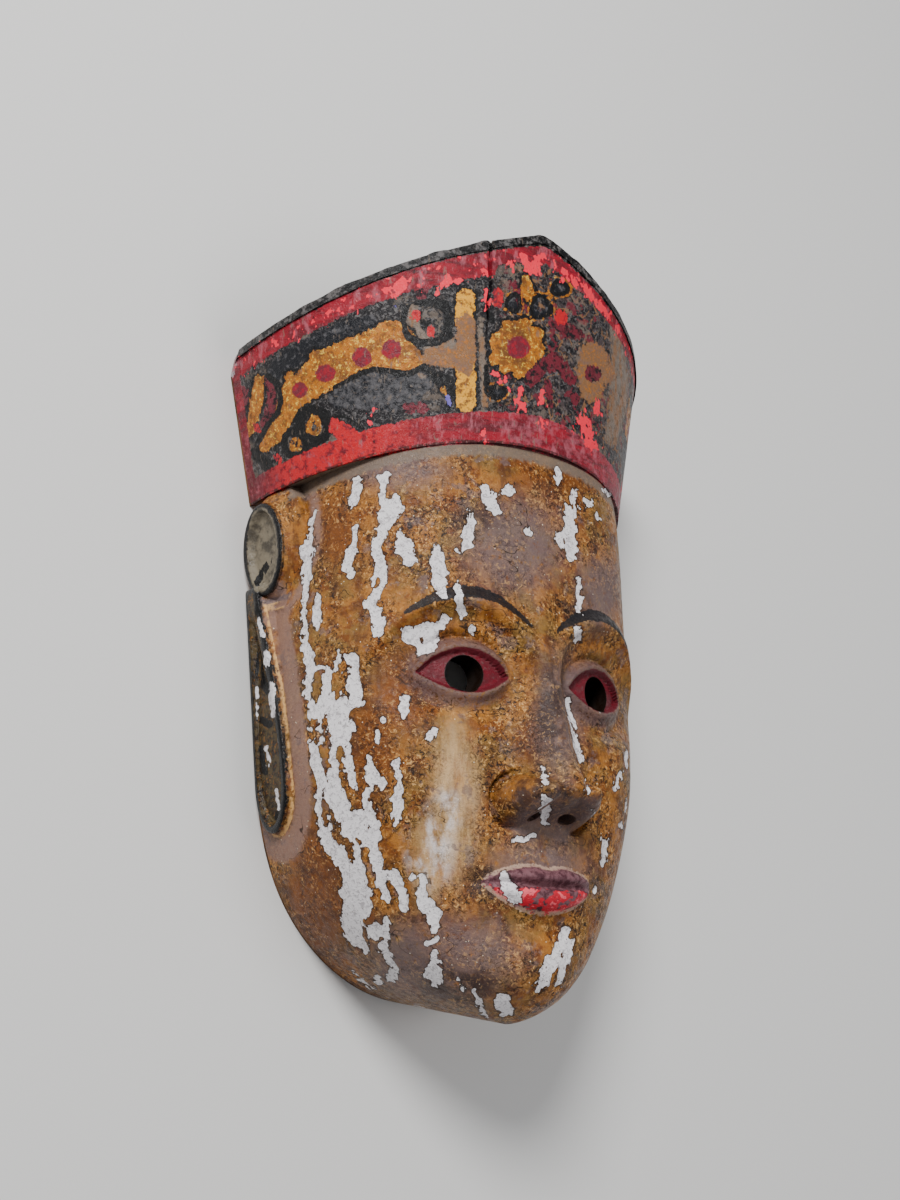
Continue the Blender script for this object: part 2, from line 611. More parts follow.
def eye_relief(u, v):
    socket = np.hypot((u - 1.08) / 0.95, (v - 1.7) / 0.38)
    hollow = -0.095 * np.maximum(0, 1 - socket * socket) * smoothstep(v, 1.35, 1.62)
    brow_ridge = 0.04 * bell(socket - 1.05, 0.14) * smoothstep(v, 1.66, 1.9)
    ball = 0.085 * np.maximum(0, 1 - ((u - 1) / 0.62) ** 2 - ((v - EYE_LEVEL) / 0.2) ** 2)
    upper, _, across, opened = lid_lines(u)
    inside = inside_lids(u, v)
    opening = -0.028 * smoothstep(inside, -0.008, 0.01)
    lid_roll = 0.022 * bell(inside + 0.03, 0.026) * (1 - smoothstep(np.abs(across), 0.9, 1.35))
    crease = -0.022 * bell(v - upper - 0.085, 0.016) * np.sqrt(opened)
    fold = 0.01 * bell(v - upper - 0.125, 0.03) * opened
    return hollow + brow_ridge + ball + opening + lid_roll + crease + fold


def nose_relief(u, v):
    down = np.clip(2 - v, 0, 1)
    rise = np.where(v > 2, 0.045 * bell(v - 2, 0.25), 0.045 + 0.25 * down ** 1.2)
    underside = smoothstep(v, 0.975, 1.13)
    bridge = rise * underside * np.exp(-((u / (0.21 + 0.2 * down)) ** 2.2))
    tip = 0.055 * bell(u, 0.32) * bell(v - 1.16, 0.12)
    wing_place = ((u - 0.42) / 0.21) ** 2 + ((v - 1.085) / 0.1) ** 2
    wing = 0.17 * np.exp(-(wing_place ** 2))
    wing_groove = -0.055 * bell(np.sqrt(wing_place) - 1.36, 0.15) * smoothstep(u, 0.34, 0.52)
    return bridge + tip + wing + wing_groove


def lip_heights(u):
    across = u / MOUTH_HALF
    opened = np.maximum(0, 1 - across * across)
    line = MOUTH_LEVEL + 0.012 * across * across
    upper = 0.105 * opened ** 0.7 - 0.02 * bell(u, 0.16) * opened
    lower = 0.135 * opened ** 0.8
    return line, upper, lower, opened


def mouth_relief(u, v):
    line, upper, lower, opened = lip_heights(u)
    lip = np.where(v > line, (v - line) / (upper + 1e-6), (line - v) / (lower + 1e-6))
    fullness = 0.05 * (1 - np.minimum(1, lip) ** 4) * opened ** 0.4
    parting = -0.042 * bell(v - line, 0.02) * np.sqrt(opened)
    corner = -0.03 * bell(u - 0.86, 0.12) * bell(v - MOUTH_LEVEL - 0.01, 0.05)
    philtrum = -0.014 * bell(u, 0.09) * smoothstep(v, 0.78, 0.82) * (1 - smoothstep(v, 0.93, 0.98))
    return fullness + parting + corner + philtrum


def cheek_and_chin_relief(u, v):
    muzzle = 0.06 * bell(u, 0.95) * bell(v - 0.7, 0.33)
    under_lip = -0.035 * bell(v - 0.47, 0.07) * bell(u, 0.75)
    chin = 0.07 * bell(v - 0.24, 0.17) * bell(u, 0.6)
    cheek = 0.05 * bell(u - 1.45, 0.65) * bell(v - 1.25, 0.35)
    temple = -0.03 * bell(u - 2.1, 0.4) * bell(v - 2.3, 0.4)
    return muzzle + under_lip + chin + cheek + temple


def face_relief(u, v):
    return THIRD * (eye_relief(u, v) + nose_relief(u, v) + mouth_relief(u, v) + cheek_and_chin_relief(u, v))


# Edges of the cap, where share goes from its middle to its side
def cap_foot_y(share):
    return CAP_FOOT_Y - CAP_FOOT_DROP * share ** 1.75


def cap_top_y(share):
    rounding = 0.03
    slope = (np.hypot(share, rounding) - rounding) / (math.hypot(1, rounding) - rounding)
    return CAP_PEAK_Y - CAP_TOP_DROP * lerp(share ** 4.5, slope, 0.88)


# Closed meshes from rows of points
def closed_mesh(name, grid):
    """A closed mesh from rows that each hold one loop; rows that shrink to a point or line close it."""
    rows, columns, _ = grid.shape
    points, index = np.unique(np.round(grid.reshape(-1, 3), 7), axis=0, return_inverse=True)
    index = index.reshape(rows, columns)
    here, there = index[:-1], index[1:]
    here_next, there_next = np.roll(here, -1, axis=1), np.roll(there, -1, axis=1)
    first = np.stack([here, here_next, there_next], axis=-1).reshape(-1, 3)
    second = np.stack([here, there_next, there], axis=-1).reshape(-1, 3)
    faces = np.concatenate([first, second])
    a, b, c = faces.T
    faces = faces[(a != b) & (b != c) & (c != a)]
    mesh = bpy.data.meshes.new(name)
    mesh.from_pydata(points.tolist(), [], faces.tolist())
    mesh.update()
    return turned_outwards(mesh, points, faces)


def turned_outwards(mesh, points, faces):
    """Flips a closed mesh whose volume comes out negative."""
    a, b, c = points[faces[:, 0]], points[faces[:, 1]], points[faces[:, 2]]
    if np.einsum("ij,ij->", a, np.cross(b, c)) < 0:
        mesh.flip_normals()
    return mesh


def closed_object(name, grid):
    piece = bpy.data.objects.new(name, closed_mesh(name, grid))
    bpy.context.scene.collection.objects.link(piece)
    return piece


def face_form():
    loop = section_loop(FACE_SQUARENESS, 0.62, 54, 88, 6)
    chin = CHIN_ROUND * (1 - np.cos(np.linspace(0, math.pi / 2, 27)))
    features = THIRD * banded(CHIN_ROUND / THIRD, ((2.38, 160),))[1:]
    crown = lerp(2.38 * THIRD, CROWN_Y - CHIN_Y, np.sin(np.linspace(0, math.pi / 2, 28)))[1:]
    y = (CHIN_Y + np.concatenate([chin, features, crown]))[:, None]
    across, forward = loop[:, 0][None], loop[:, 1][None]
    x = face_half_width(y) * across
    depth = face_depth(y)
    z = np.where(forward > 0, depth, OVERRUN) * forward
    relief = face_relief(np.abs(x) / EYE_WIDTH, (y - CHIN_Y) / THIRD)
    z = z + relief * smoothstep(forward, 0, 0.5)
    low = 1 - smoothstep(y, CHIN_Y, CHIN_Y + THIRD)
    undercut = CHIN_UNDERCUT * low * (1 - np.clip(z / depth, 0, 1))
    return closed_object("face_form", np.stack([x, y + undercut, z], axis=-1))


def cap_form():
    loop = section_loop(CAP_SQUARENESS, 0.5, 42, 60, 6)
    across, forward = loop[:, 0][None], loop[:, 1][None]
    floor = [(0, inset, 0, 0) for inset in (1, 0.5, 0.2, 0.04, 0)]
    wall = [(rise, 0, 0, 0) for rise in np.linspace(0, 1, 76)[1:-1]]
    bevel = [(1, 0, 1 - math.sin(turn), 1 - math.cos(turn)) for turn in np.linspace(0, math.pi / 2, 7)]
    roof = [(1, inset, 0, 1) for inset in (0.02, 0.05, 0.1, 0.2, 0.35, 0.5, 0.7, 0.85, 1)]
    rows = []
    for rise, inset, down, back in floor + wall + bevel + roof:
        half_width = (lerp(CAP_FOOT_HALF_WIDTH, CAP_TOP_HALF_WIDTH, rise) - CAP_BEVEL * back) * (1 - inset)
        depth = (lerp(CAP_FOOT_DEPTH, CAP_TOP_DEPTH, rise) - CAP_BEVEL * back) * (1 - inset)
        share = np.abs(across) * (1 - inset)
        y = lerp(cap_foot_y(share), cap_top_y(share), rise) - CAP_BEVEL * down
        behind = OVERRUN * (1 - inset)
        z = np.where(forward > 0, depth, behind) * forward
        rows.append(np.stack(np.broadcast_arrays(half_width * across, y, z), axis=-1)[0])
    return closed_object("cap_form", np.stack(rows))


def hollow_sizes(y):
    """Half width and depth of the hollow at a height."""
    top, bottom = CAP_PEAK_Y - CAP_WALL, CHIN_Y + CHIN_WALL
    high = np.where(y > WIDEST_Y, (y - WIDEST_Y) / (top - WIDEST_Y), (y - WIDEST_Y) / (WIDEST_Y - bottom))
    high = np.clip(np.abs(high), 0, 1)
    half_width = (FACE_HALF_WIDTH - SIDE_WALL) * (1 - high ** 2.6) ** (1 / 2.2)
    depth = (FACE_DEPTH - FRONT_WALL) * (1 - high ** 3.5) ** (1 / 3)
    return half_width, depth


def hollow_form():
    top, bottom = CAP_PEAK_Y - CAP_WALL, CHIN_Y + CHIN_WALL
    high = -np.cos(np.linspace(0, math.pi, 61))
    y = WIDEST_Y + high * np.where(high > 0, top - WIDEST_Y, WIDEST_Y - bottom)
    half_width, depth = (size[:, None] for size in hollow_sizes(y))
    loop = section(np.linspace(-math.pi, math.pi, 97)[:-1], HOLLOW_SQUARENESS)
    across, forward = loop[:, 0][None], loop[:, 1][None]
    z = np.where(forward > 0, depth, 2 * OVERRUN) * forward
    x = half_width * across
    return closed_object("hollow_form", np.stack(np.broadcast_arrays(x, y[:, None], z), axis=-1))


# Ears, drawn in the plane of the side of the head
def ear_bowl(inset):
    turn = np.linspace(0, 2 * math.pi, 97)[:-1]
    middle = EAR_TOP - EAR_BOWL_HEIGHT / 2
    forward = EAR_BACK + EAR_WIDTH / 2 + (EAR_WIDTH / 2 - MM - inset) * np.cos(turn)
    up = middle + (EAR_BOWL_HEIGHT / 2 - inset) * np.sin(turn)
    return np.stack([forward, up], axis=-1)


def ear_lobe(inset):
    back, front = EAR_BACK + inset, EAR_BACK + EAR_WIDTH - inset
    neck_back, neck_front = back + 0.06 * EAR_WIDTH, EAR_BACK + 0.44 * EAR_WIDTH - inset
    neck, bottom = EAR_TOP - EAR_BOWL_HEIGHT + 5 * MM - 4 * inset, EAR_TOP - EAR_LENGTH + inset
    curl = bottom + 0.14 * EAR_LENGTH
    step = np.linspace(0, 1, 28)[:-1, None]
    straight = lerp(np.array([neck_back, neck]), np.array([back, curl]), step)
    turn = np.linspace(math.pi, 2 * math.pi, 31)[:-1]
    round_end = np.stack([
        (back + front) / 2 + (front - back) / 2 * np.cos(turn),
        curl + (curl - bottom) * np.sin(turn),
    ], axis=-1)
    handles = np.array([
        (front, curl),
        (front, lerp(curl, neck, 0.45)),
        (neck_front + 0.1 * EAR_WIDTH, lerp(curl, neck, 0.75)),
        (neck_front, neck),
    ])
    t = np.linspace(0, 1, 34)[:-1, None]
    weights = ((1 - t) ** 3, 3 * t * (1 - t) ** 2, 3 * t * t * (1 - t), t ** 3)
    sweep = sum(weight * handle for weight, handle in zip(weights, handles))
    close = lerp(handles[3], np.array([neck_back, neck]), np.linspace(0, 1, 7)[:-1, None])
    return np.concatenate([straight, round_end, sweep, close])


def ear_face_offset():
    return float(face_half_width(np.array(EAR_MIDDLE))) + EAR_STAND - 2 * MM


def flared(outline, grow):
    """An ear outline grown outwards by moving each point along the line's own outward normal."""
    flat = outline(0)
    along = np.roll(flat, -1, axis=0) - np.roll(flat, 1, axis=0)
    normal = np.stack([along[:, 1], -along[:, 0]], axis=-1)
    normal /= np.linalg.norm(normal, axis=1)[:, None]
    turning = np.einsum("i,i->", flat[:, 0], np.roll(flat[:, 1], -1)) - np.einsum(
        "i,i->", np.roll(flat[:, 0], -1), flat[:, 1]
    )
    return flat + normal * grow * math.copysign(1, turning)


def ear_rows(outline):
    """Rings of one part of an ear from its root out to its rim and in over the dish."""
    root = 0.72 * FACE_HALF_WIDTH - ear_face_offset()
    flare = [(0.999, 0), (0.7, 0.2), (0.45, 0.4), (0.25, 0.6), (0.1, 0.8), (0.0, 0.95)]
    rings = [(flared(outline, EAR_FLARE), root, 0)]
    for grow, rise in flare:
        rings.append((flared(outline, EAR_FLARE * grow), -EAR_EDGE - EAR_FLARE * (1 - rise), rise))
    for turn in np.linspace(0, math.pi / 2, 6):
        rings.append((outline(EAR_EDGE * (1 - math.cos(turn))), -EAR_EDGE * (1 - math.sin(turn)), 1))
    for share in np.linspace(0, 1, 8):
        sink = EAR_DISH_DEPTH * (1 - math.cos(math.pi * share)) / 2
        rings.append((outline(EAR_RIM + share * 2.4 * MM), -sink, 1))
    return rings


def ear_form(name, outline, side):
    tilt, stretch = (BOWL_TILT, BOWL_STRETCH) if outline is ear_bowl else (0, 1)
    rows = []
    for flat, height, share in ear_rows(outline):
        forward = EAR_BACK + (flat[:, 0] - EAR_BACK) * lerp(1, stretch, share)
        out = height - tilt * share * (forward - EAR_BACK)
        rows.append(np.column_stack([forward, flat[:, 1], out]))
    for row in (0, -1):
        middle = rows[row].mean(axis=0)
        closing = [lerp(rows[row], middle, share) for share in (0.5, 1)]
        rows = closing[::-1] + rows if row == 0 else rows + closing
    forward, up, out = np.moveaxis(np.stack(rows), -1, 0)
    up = up - EAR_MIDDLE
    x = ear_face_offset() + up * math.sin(EAR_LEAN) + out * math.cos(EAR_LEAN)
    y = EAR_MIDDLE + up * math.cos(EAR_LEAN) - out * math.sin(EAR_LEAN)
    return closed_object(name, np.stack([side * x, y, forward], axis=-1))


# Holes, the split and the broken corner
def bored_hole(name, centre, radius, length):
    turn = np.linspace(0, 2 * math.pi, 65)[:-1]
    ring = np.stack([centre[0] + radius * np.cos(turn), centre[1] + radius * np.sin(turn)], axis=-1)
    rows = [np.column_stack([ring, np.full(64, centre[2] + end * length / 2)]) for end in (-1, 1)]
    poles = [np.tile((centre[0], centre[1], centre[2] + end * length / 2), (64, 1)) for end in (-1, 1)]
    return closed_object(name, np.stack([poles[0], rows[0], rows[1], poles[1]]))


def eye_hole(side):
    centre = (side * EYE_WIDTH, CHIN_Y + EYE_LEVEL * THIRD, FACE_DEPTH - FRONT_WALL)
    return bored_hole("eye_hole", centre, EYE_HOLE_DIAMETER / 2, FACE_DEPTH)


def nostril(side):
    x, y = 0.24 * EYE_WIDTH, CHIN_Y + 1.02 * THIRD
    across = x / face_half_width(np.array(y))
    front = face_depth(np.array(y)) * (1 - across ** FACE_SQUARENESS) ** (1 / FACE_SQUARENESS)
    turn = np.linspace(0, 2 * math.pi, 33)[:-1][None]
    rise = np.linspace(-math.pi / 2, math.pi / 2, 17)[:, None]
    narrow, long = 0.85 * NOSTRIL_DIAMETER / 2, NOSTRIL_DEPTH
    ball = np.stack([
        narrow * np.cos(rise) * np.cos(turn),
        narrow * np.cos(rise) * np.sin(turn),
        long * np.sin(rise) * np.ones_like(turn),
    ], axis=-1)
    tilt = np.array(Matrix.Rotation(math.radians(35), 3, "X"))
    ball = ball @ tilt.T + (side * x, y, float(front) + 0.06 * THIRD)
    return closed_object("nostril", ball)


def crack():
    """A wandering wedge down the front of the cap."""
    heights = np.linspace(CAP_FOOT_Y - 0.06 * THIRD, CAP_PEAK_Y + OVERRUN, 60)
    share = abs(CRACK_OFFSET / CAP_TOP_HALF_WIDTH)
    surface = CAP_TOP_DEPTH * (1 - share ** CAP_SQUARENESS) ** (1 / CAP_SQUARENESS)
    waver = 0.35 * MM * np.sin(heights / (6 * MM)) + 0.25 * MM * np.sin(heights / (2.3 * MM))
    swell = 1 + 0.45 * np.sin(heights / (9 * MM) + 1)
    rows = []
    for height, shift, wide in zip(heights, waver, swell):
        x = CRACK_OFFSET + shift
        rows.append([
            (x, height, surface - CRACK_DEPTH),
            (x + CRACK_WIDTH * wide, height, surface + CRACK_DEPTH),
            (x - CRACK_WIDTH * wide, height, surface + CRACK_DEPTH),
        ])
    rows = np.array(rows)
    poles = [np.tile(rows[end].mean(axis=0), (3, 1)) for end in (0, -1)]
    return closed_object("crack", np.concatenate([[poles[0]], rows, [poles[1]]]))


def broken_corner():
    """What is missing of the cap's near upper corner: a spike from outside to the break's plane."""
    share = 1 - CORNER_ALONG / CAP_TOP_HALF_WIDTH
    taper = (CAP_TOP_HALF_WIDTH - CAP_FOOT_HALF_WIDTH) / (cap_top_y(1) - cap_foot_y(1))
    rounding = (1 - (CORNER_FORWARD / CAP_TOP_DEPTH) ** CAP_SQUARENESS) ** (1 / CAP_SQUARENESS)
    ends = np.array([
        (-CAP_TOP_HALF_WIDTH * share, cap_top_y(share), 0),
        (-CAP_TOP_HALF_WIDTH + taper * CORNER_DOWN, cap_top_y(1) - CORNER_DOWN, 0),
        (-CAP_TOP_HALF_WIDTH * rounding, cap_top_y(rounding), CORNER_FORWARD),
    ])
    centre = ends.mean(axis=0)
    outside = np.array((-CAP_TOP_HALF_WIDTH - 2 * OVERRUN, cap_top_y(1) + OVERRUN, -2 * OVERRUN))
    rows = [np.tile(centre, (3, 1)), centre + 3 * (ends - centre), np.tile(outside, (3, 1))]
    return closed_object("broken_corner", np.stack(rows))


def behind_rim():
    half, length = 1.6 * CAP_TOP_HALF_WIDTH, MASK_HEIGHT
    ring = np.array([(half, length), (-half, length), (-half, -length), (half, -length)])
    rows = [np.column_stack([ring, np.full(4, z)]) for z in (-4 * OVERRUN, 0)]
    poles = [np.tile((0, 0, z), (4, 1)) for z in (-4 * OVERRUN, 0)]
    return closed_object("behind_rim", np.stack([poles[0], *rows, poles[1]]))


def joined(base, others, operation):
    """Adds other solids to a base or cuts them from it, and takes them away afterwards."""
    for other in others:
        change = base.modifiers.new(operation.lower(), "BOOLEAN")
        change.operation = operation
        change.solver = "MANIFOLD"
        change.object = other
    evaluated = base.evaluated_get(bpy.context.evaluated_depsgraph_get())
    mesh = bpy.data.meshes.new_from_object(evaluated)
    base.modifiers.clear()
    base.data = mesh
    for other in others:
        bpy.data.objects.remove(other)
    return base


def carve_mask():
    ears = [
        ear_form(f"{outline.__name__}_form", outline, side)
        for outline in (ear_bowl, ear_lobe)
        for side in (-1, 1)
    ]
    wood = joined(face_form(), [cap_form(), *ears], "UNION")
    cuts = [hollow_form(), eye_hole(-1), eye_hole(1), nostril(-1), nostril(1), crack()]
    cuts += [behind_rim(), broken_corner()]
    wood = joined(wood, cuts, "DIFFERENCE")
    wood.name = "carved_wood"
    return wood


# Fields over the surface that say where each paint lies, in millimetres inside its edge
def mesh_points(mesh, what="co"):
    values = np.empty(len(mesh.vertices) * 3)
    mesh.vertices.foreach_get(what, values)
    return values.reshape(-1, 3)


def keep_fields(mesh, fields):
    for name, values in fields.items():
        field = mesh.attributes.new(name, "FLOAT", "POINT")
        field.data.foreach_set("value", np.clip(values, -FIELD_REACH, FIELD_REACH).astype(np.float32))


def in_photo(points):
    """Pixels of the photograph that points fall on, and the millimetres that a pixel spans there."""
    depth = CAMERA_DISTANCE - points @ np.array(camera_back)
    across = VIEW_CENTRE[0] + FOCAL_PIXELS * (points @ np.array(camera_right)) / depth
    down = VIEW_CENTRE[1] - FOCAL_PIXELS * (points @ np.array(camera_up)) / depth
    return np.stack([across, down], axis=-1), depth / FOCAL_PIXELS / MM


def inside_strokes(pixels, strokes, reach=30):
    """Pixels inside the nearest of some brush strokes; negative outside them."""
    best = np.full(len(pixels), -float(reach))
    for stroke in strokes:
        stops = np.array(stroke, dtype=float)
        low, high = stops[:, :2].min(axis=0) - reach, stops[:, :2].max(axis=0) + reach
        near = np.nonzero(np.all((pixels > low) & (pixels < high), axis=1))[0]
        for start, end in zip(stops, stops[1:] if len(stops) > 1 else stops):
            run = end[:2] - start[:2]
            away = pixels[near] - start[:2]
            share = np.clip(away @ run / max(run @ run, 1e-6), 0, 1)
            gap = np.linalg.norm(away - share[:, None] * run, axis=1)
            best[near] = np.maximum(best[near], lerp(start[2], end[2], share) - gap)
    return best


def rings(places, grow, half_width):
    """A wavering round stroke about each place, in pixels."""
    turn = np.linspace(0, 2 * math.pi, 15)
    strokes = []
    for x, y, half_across, half_down in places:
        waver = 1 + 0.12 * np.sin(3 * turn + x)
        across = x + (half_across + grow) * waver * np.cos(turn)
        down = y + (half_down + grow) * waver * np.sin(turn)
        strokes.append(np.column_stack([across, down, np.full(len(turn), half_width)]))
    return strokes


def inside_patches(pixels, patches):
    best = np.zeros(len(pixels))
    for x, y, half_width, half_height in patches:
        away = np.hypot((pixels[:, 0] - x) / half_width, (pixels[:, 1] - y) / half_height)
        best = np.maximum(best, 1 - smoothstep(away, 0.35, 1.25))
    return best


def cap_places(points):
    """Distance round the cap's wall from its middle, share of its height, its height, and how far out."""
    x, y, z = points.T
    rise = np.full(len(points), 0.5)
    for _ in range(8):
        half_width = lerp(CAP_FOOT_HALF_WIDTH, CAP_TOP_HALF_WIDTH, rise)
        depth = lerp(CAP_FOOT_DEPTH, CAP_TOP_DEPTH, rise)
        share = np.clip(np.abs(x) / half_width, 0, 1)
        height = cap_top_y(share) - cap_foot_y(share)
        rise = np.clip((y - cap_foot_y(share)) / height, -0.5, 1.5)
    across, forward = x / half_width, np.maximum(z, 0) / depth
    out = (np.abs(across) ** CAP_SQUARENESS + forward ** CAP_SQUARENESS) ** (1 / CAP_SQUARENESS)
    turn = np.arctan2(np.sign(x) * np.abs(across) ** (CAP_SQUARENESS / 2), forward ** (CAP_SQUARENESS / 2))
    angles = np.linspace(-math.pi / 2, math.pi / 2, 721)
    ring = section(angles, CAP_SQUARENESS) * ((CAP_FOOT_HALF_WIDTH + CAP_TOP_HALF_WIDTH) / 2, CAP_TOP_DEPTH)
    length = np.concatenate([[0], np.cumsum(np.linalg.norm(np.diff(ring, axis=0), axis=1))])
    along = np.interp(turn, angles, length - length[-1] / 2)
    return along / MM, rise, height / MM, out


def ear_places(points):
    """Place on the ear's own plane: forward from the rim, up, and out from its face."""
    out_x = np.abs(points[:, 0]) - ear_face_offset()
    up_y = points[:, 1] - EAR_MIDDLE
    up = up_y * math.cos(EAR_LEAN) + out_x * math.sin(EAR_LEAN)
    out = out_x * math.cos(EAR_LEAN) - up_y * math.sin(EAR_LEAN)
    return points[:, 2], up + EAR_MIDDLE, out


def inside_outline(forward, up, outline):
    """Millimetres inside a closed outline; negative outside."""
    gap = np.full(len(forward), 1e3)
    crossings = np.zeros(len(forward), dtype=bool)
    for (ax, ay), (bx, by) in zip(outline, np.roll(outline, -1, axis=0)):
        run = np.array([bx - ax, by - ay])
        length = max(run @ run, 1e-18)
        share = np.clip(((forward - ax) * run[0] + (up - ay) * run[1]) / length, 0, 1)
        gap = np.minimum(gap, np.hypot(forward - ax - share * run[0], up - ay - share * run[1]))
        if ay != by:
            spans = (ay > up) != (by > up)
            crossings ^= spans & (forward < (bx - ax) * (up - ay) / (by - ay) + ax)
    return np.where(crossings, gap, -gap) / MM


def mirrored_where(points, mask):
    turned = points.copy()
    turned[mask, 0] *= -1
    return turned


def cap_fields(mesh, points):
    along, rise, height, out = cap_places(points)
    pixels, span = in_photo(mirrored_where(points, along > TURN_OF_PATTERN))
    figures = {
        "cap_gold": GOLD_CLOUD + GOLD_STRIPE + GOLD_FLOWER,
        "cap_stripe": GOLD_STRIPE,
        "cap_faded": FADED_GOLD,
        "cap_dots": RED_DOTS,
        "cap_maroon": MAROON,
        "cap_red": BRIGHT_RED,
        "cap_pink": PINK_DABS,
        "cap_cloud": DARK_CLOUD,
        "cap_night": [*NIGHT_CLOUD, *rings(CURLS, -3, 3.5)],
        "cap_ink": [*INK_LINES, *rings(CURLS, 0, 2.3)],
        "cap_curls": [*rings(CURLS, 3.4, 0.9), *rings(CURL_HEARTS, -1, 2.5)],
        "cap_bare": GREY_BARE,
        "cap_violet": VIOLET_DABS,
    }
    keep_fields(mesh, {name: inside_strokes(pixels, strokes) * span for name, strokes in figures.items()})
    corner = (-CAP_TOP_HALF_WIDTH, cap_top_y(1) - CORNER_DOWN / 2, 0)
    brighter = smoothstep(-along, BRIGHTER_FROM, BRIGHTER_FULL)
    brighter = brighter * smoothstep(-along, BRIGHTER_ENDS, BRIGHTER_DIMS)
    wall = np.minimum((out - WALL_FROM) * CAP_RADIUS, rise * height + FOOT_LAP)
    band_foot = np.where(along > BAND_NARROWS, UPPER_BAND_FOOT, UPPER_BAND_LEFT_FOOT)
    fields = {
        "cap": np.maximum(wall, (rise - CAP_ROOF_FROM) * height),
        "cap_upper_band": np.minimum(rise - band_foot, UPPER_BAND_TOP - rise) * height,
        "cap_lower_band": np.maximum((LOWER_BAND_TOP - rise) * height, np.abs(along) - BAND_END),
        "cap_brighter": brighter,
        "cap_edge": (rise - UPPER_BAND_TOP) * height,
        "cap_roof": np.where(rise > 0.9, (ROOF_INSIDE - out) * CAP_RADIUS, -FIELD_REACH),
        "cap_foot_line": FOOT_LINE - rise * height,
        "cap_busy": smoothstep(along, BUSY_FROM, BUSY_FULL),
        "cap_end": smoothstep(np.abs(along), DULL_FROM, BAND_END) * smoothstep(0.7 - rise, 0, 0.35),
        "cap_corner": PALE_CORNER - np.linalg.norm(points - corner, axis=1) / MM,
    }
    keep_fields(mesh, fields)


def ear_fields(mesh, points):
    forward, up, out = ear_places(points)
    beside = np.abs(points[:, 0]) > 0.8 * FACE_HALF_WIDTH
    bowl = inside_outline(EAR_BACK + (forward - EAR_BACK) / BOWL_STRETCH, up, ear_bowl(0))
    lobe = inside_outline(forward, up, ear_lobe(0))
    tilted = np.where(bowl > -3, out + BOWL_TILT * (forward - EAR_BACK), out)
    off_ear = np.where((tilted > -EAR_PAINT * MM) & beside, 0, -50)
    pixels, span = in_photo(mirrored_where(points, points[:, 0] > 0))
    on_ear = np.maximum(bowl, lobe) + off_ear
    lobe_border = LOBE_BORDER + LOBE_WIDER * smoothstep(forward, 0.45 * EAR_WIDTH, 0.75 * EAR_WIDTH)
    fields = {
        "ear": on_ear,
        "ear_bowl": bowl - BOWL_BORDER - BOWL_WIDER * smoothstep(-forward, -0.5 * EAR_WIDTH, 0) + off_ear,
        "ear_lobe": lobe - lobe_border + off_ear,
        "ear_line": np.minimum(
            np.minimum(0.45 - np.abs(lobe + 0.9), -bowl - 2), (forward - 0.3 * EAR_WIDTH) / MM
        ) + off_ear,
        "ear_ink": np.minimum(inside_strokes(pixels, EAR_INK) * span, on_ear),
        "ear_chips": np.minimum(inside_strokes(pixels, EAR_CHIPS) * span, on_ear),
    }
    beside_head = {
        "ear_groove": np.maximum(4.6 - np.abs(lobe + 6), 2 - np.abs(bowl + 9.5)),
        "ear_neck": inside_strokes(pixels, NECK_SHADE) * span,
        "ear_ridges": inside_strokes(pixels, NECK_RIDGES) * span,
    }
    keep_fields(mesh, fields)
    keep_fields(mesh, {name: np.where(beside, values, -FIELD_REACH) for name, values in beside_head.items()})


def face_fields(mesh, points):
    u = np.abs(points[:, 0]) / EYE_WIDTH
    v = (points[:, 1] - CHIN_Y) / THIRD
    brow_line = 1.9 + 0.24 * np.maximum(0, 1 - ((u - 0.98) / 1.02) ** 2)
    brow_half = 0.036 * np.sqrt(np.maximum(0, 1 - ((u - 0.95) / 0.8) ** 2))
    line, upper, lower, opened = lip_heights(u)
    scale = THIRD / MM
    lip_edge = np.minimum(line + upper - v, v - line + lower)
    on_face = points[:, 2] > 0.3 * FACE_DEPTH
    fields = {
        "brow": np.where(np.abs(u - 0.95) < 0.8, brow_half - np.abs(v - brow_line), -1) * scale,
        "eye_white": inside_lids(u, v) * scale,
        "eye_ring": (0.19 - np.hypot((u - 1.02) / 3.1, v - EYE_LEVEL - 0.01)) * scale,
        "lips": np.where(opened > 0, lip_edge, -1) * scale,
        "lower_lip": np.where(opened > 0, np.minimum(line - 0.02 - v, v - line + lower), -1) * scale,
        "under_cap": (v - 2.925 + 0.17 * (points[:, 0] / FACE_HALF_WIDTH) ** 2) * scale,
        "under_nose": (0.1 - np.hypot((u - 0.22) / 3, v - 0.99)) * scale,
        "lip_line": np.where(opened > 0.02, 0.01 - np.abs(lip_edge), -1) * scale,
        "bored": (EYE_HOLE_DIAMETER / 2 - THIRD * np.hypot(
            (u - 1) * EYE_WIDTH / THIRD, v - EYE_LEVEL
        )) / MM + 0.3,
    }
    keep_fields(mesh, {name: np.where(on_face, values, -5) for name, values in fields.items()})


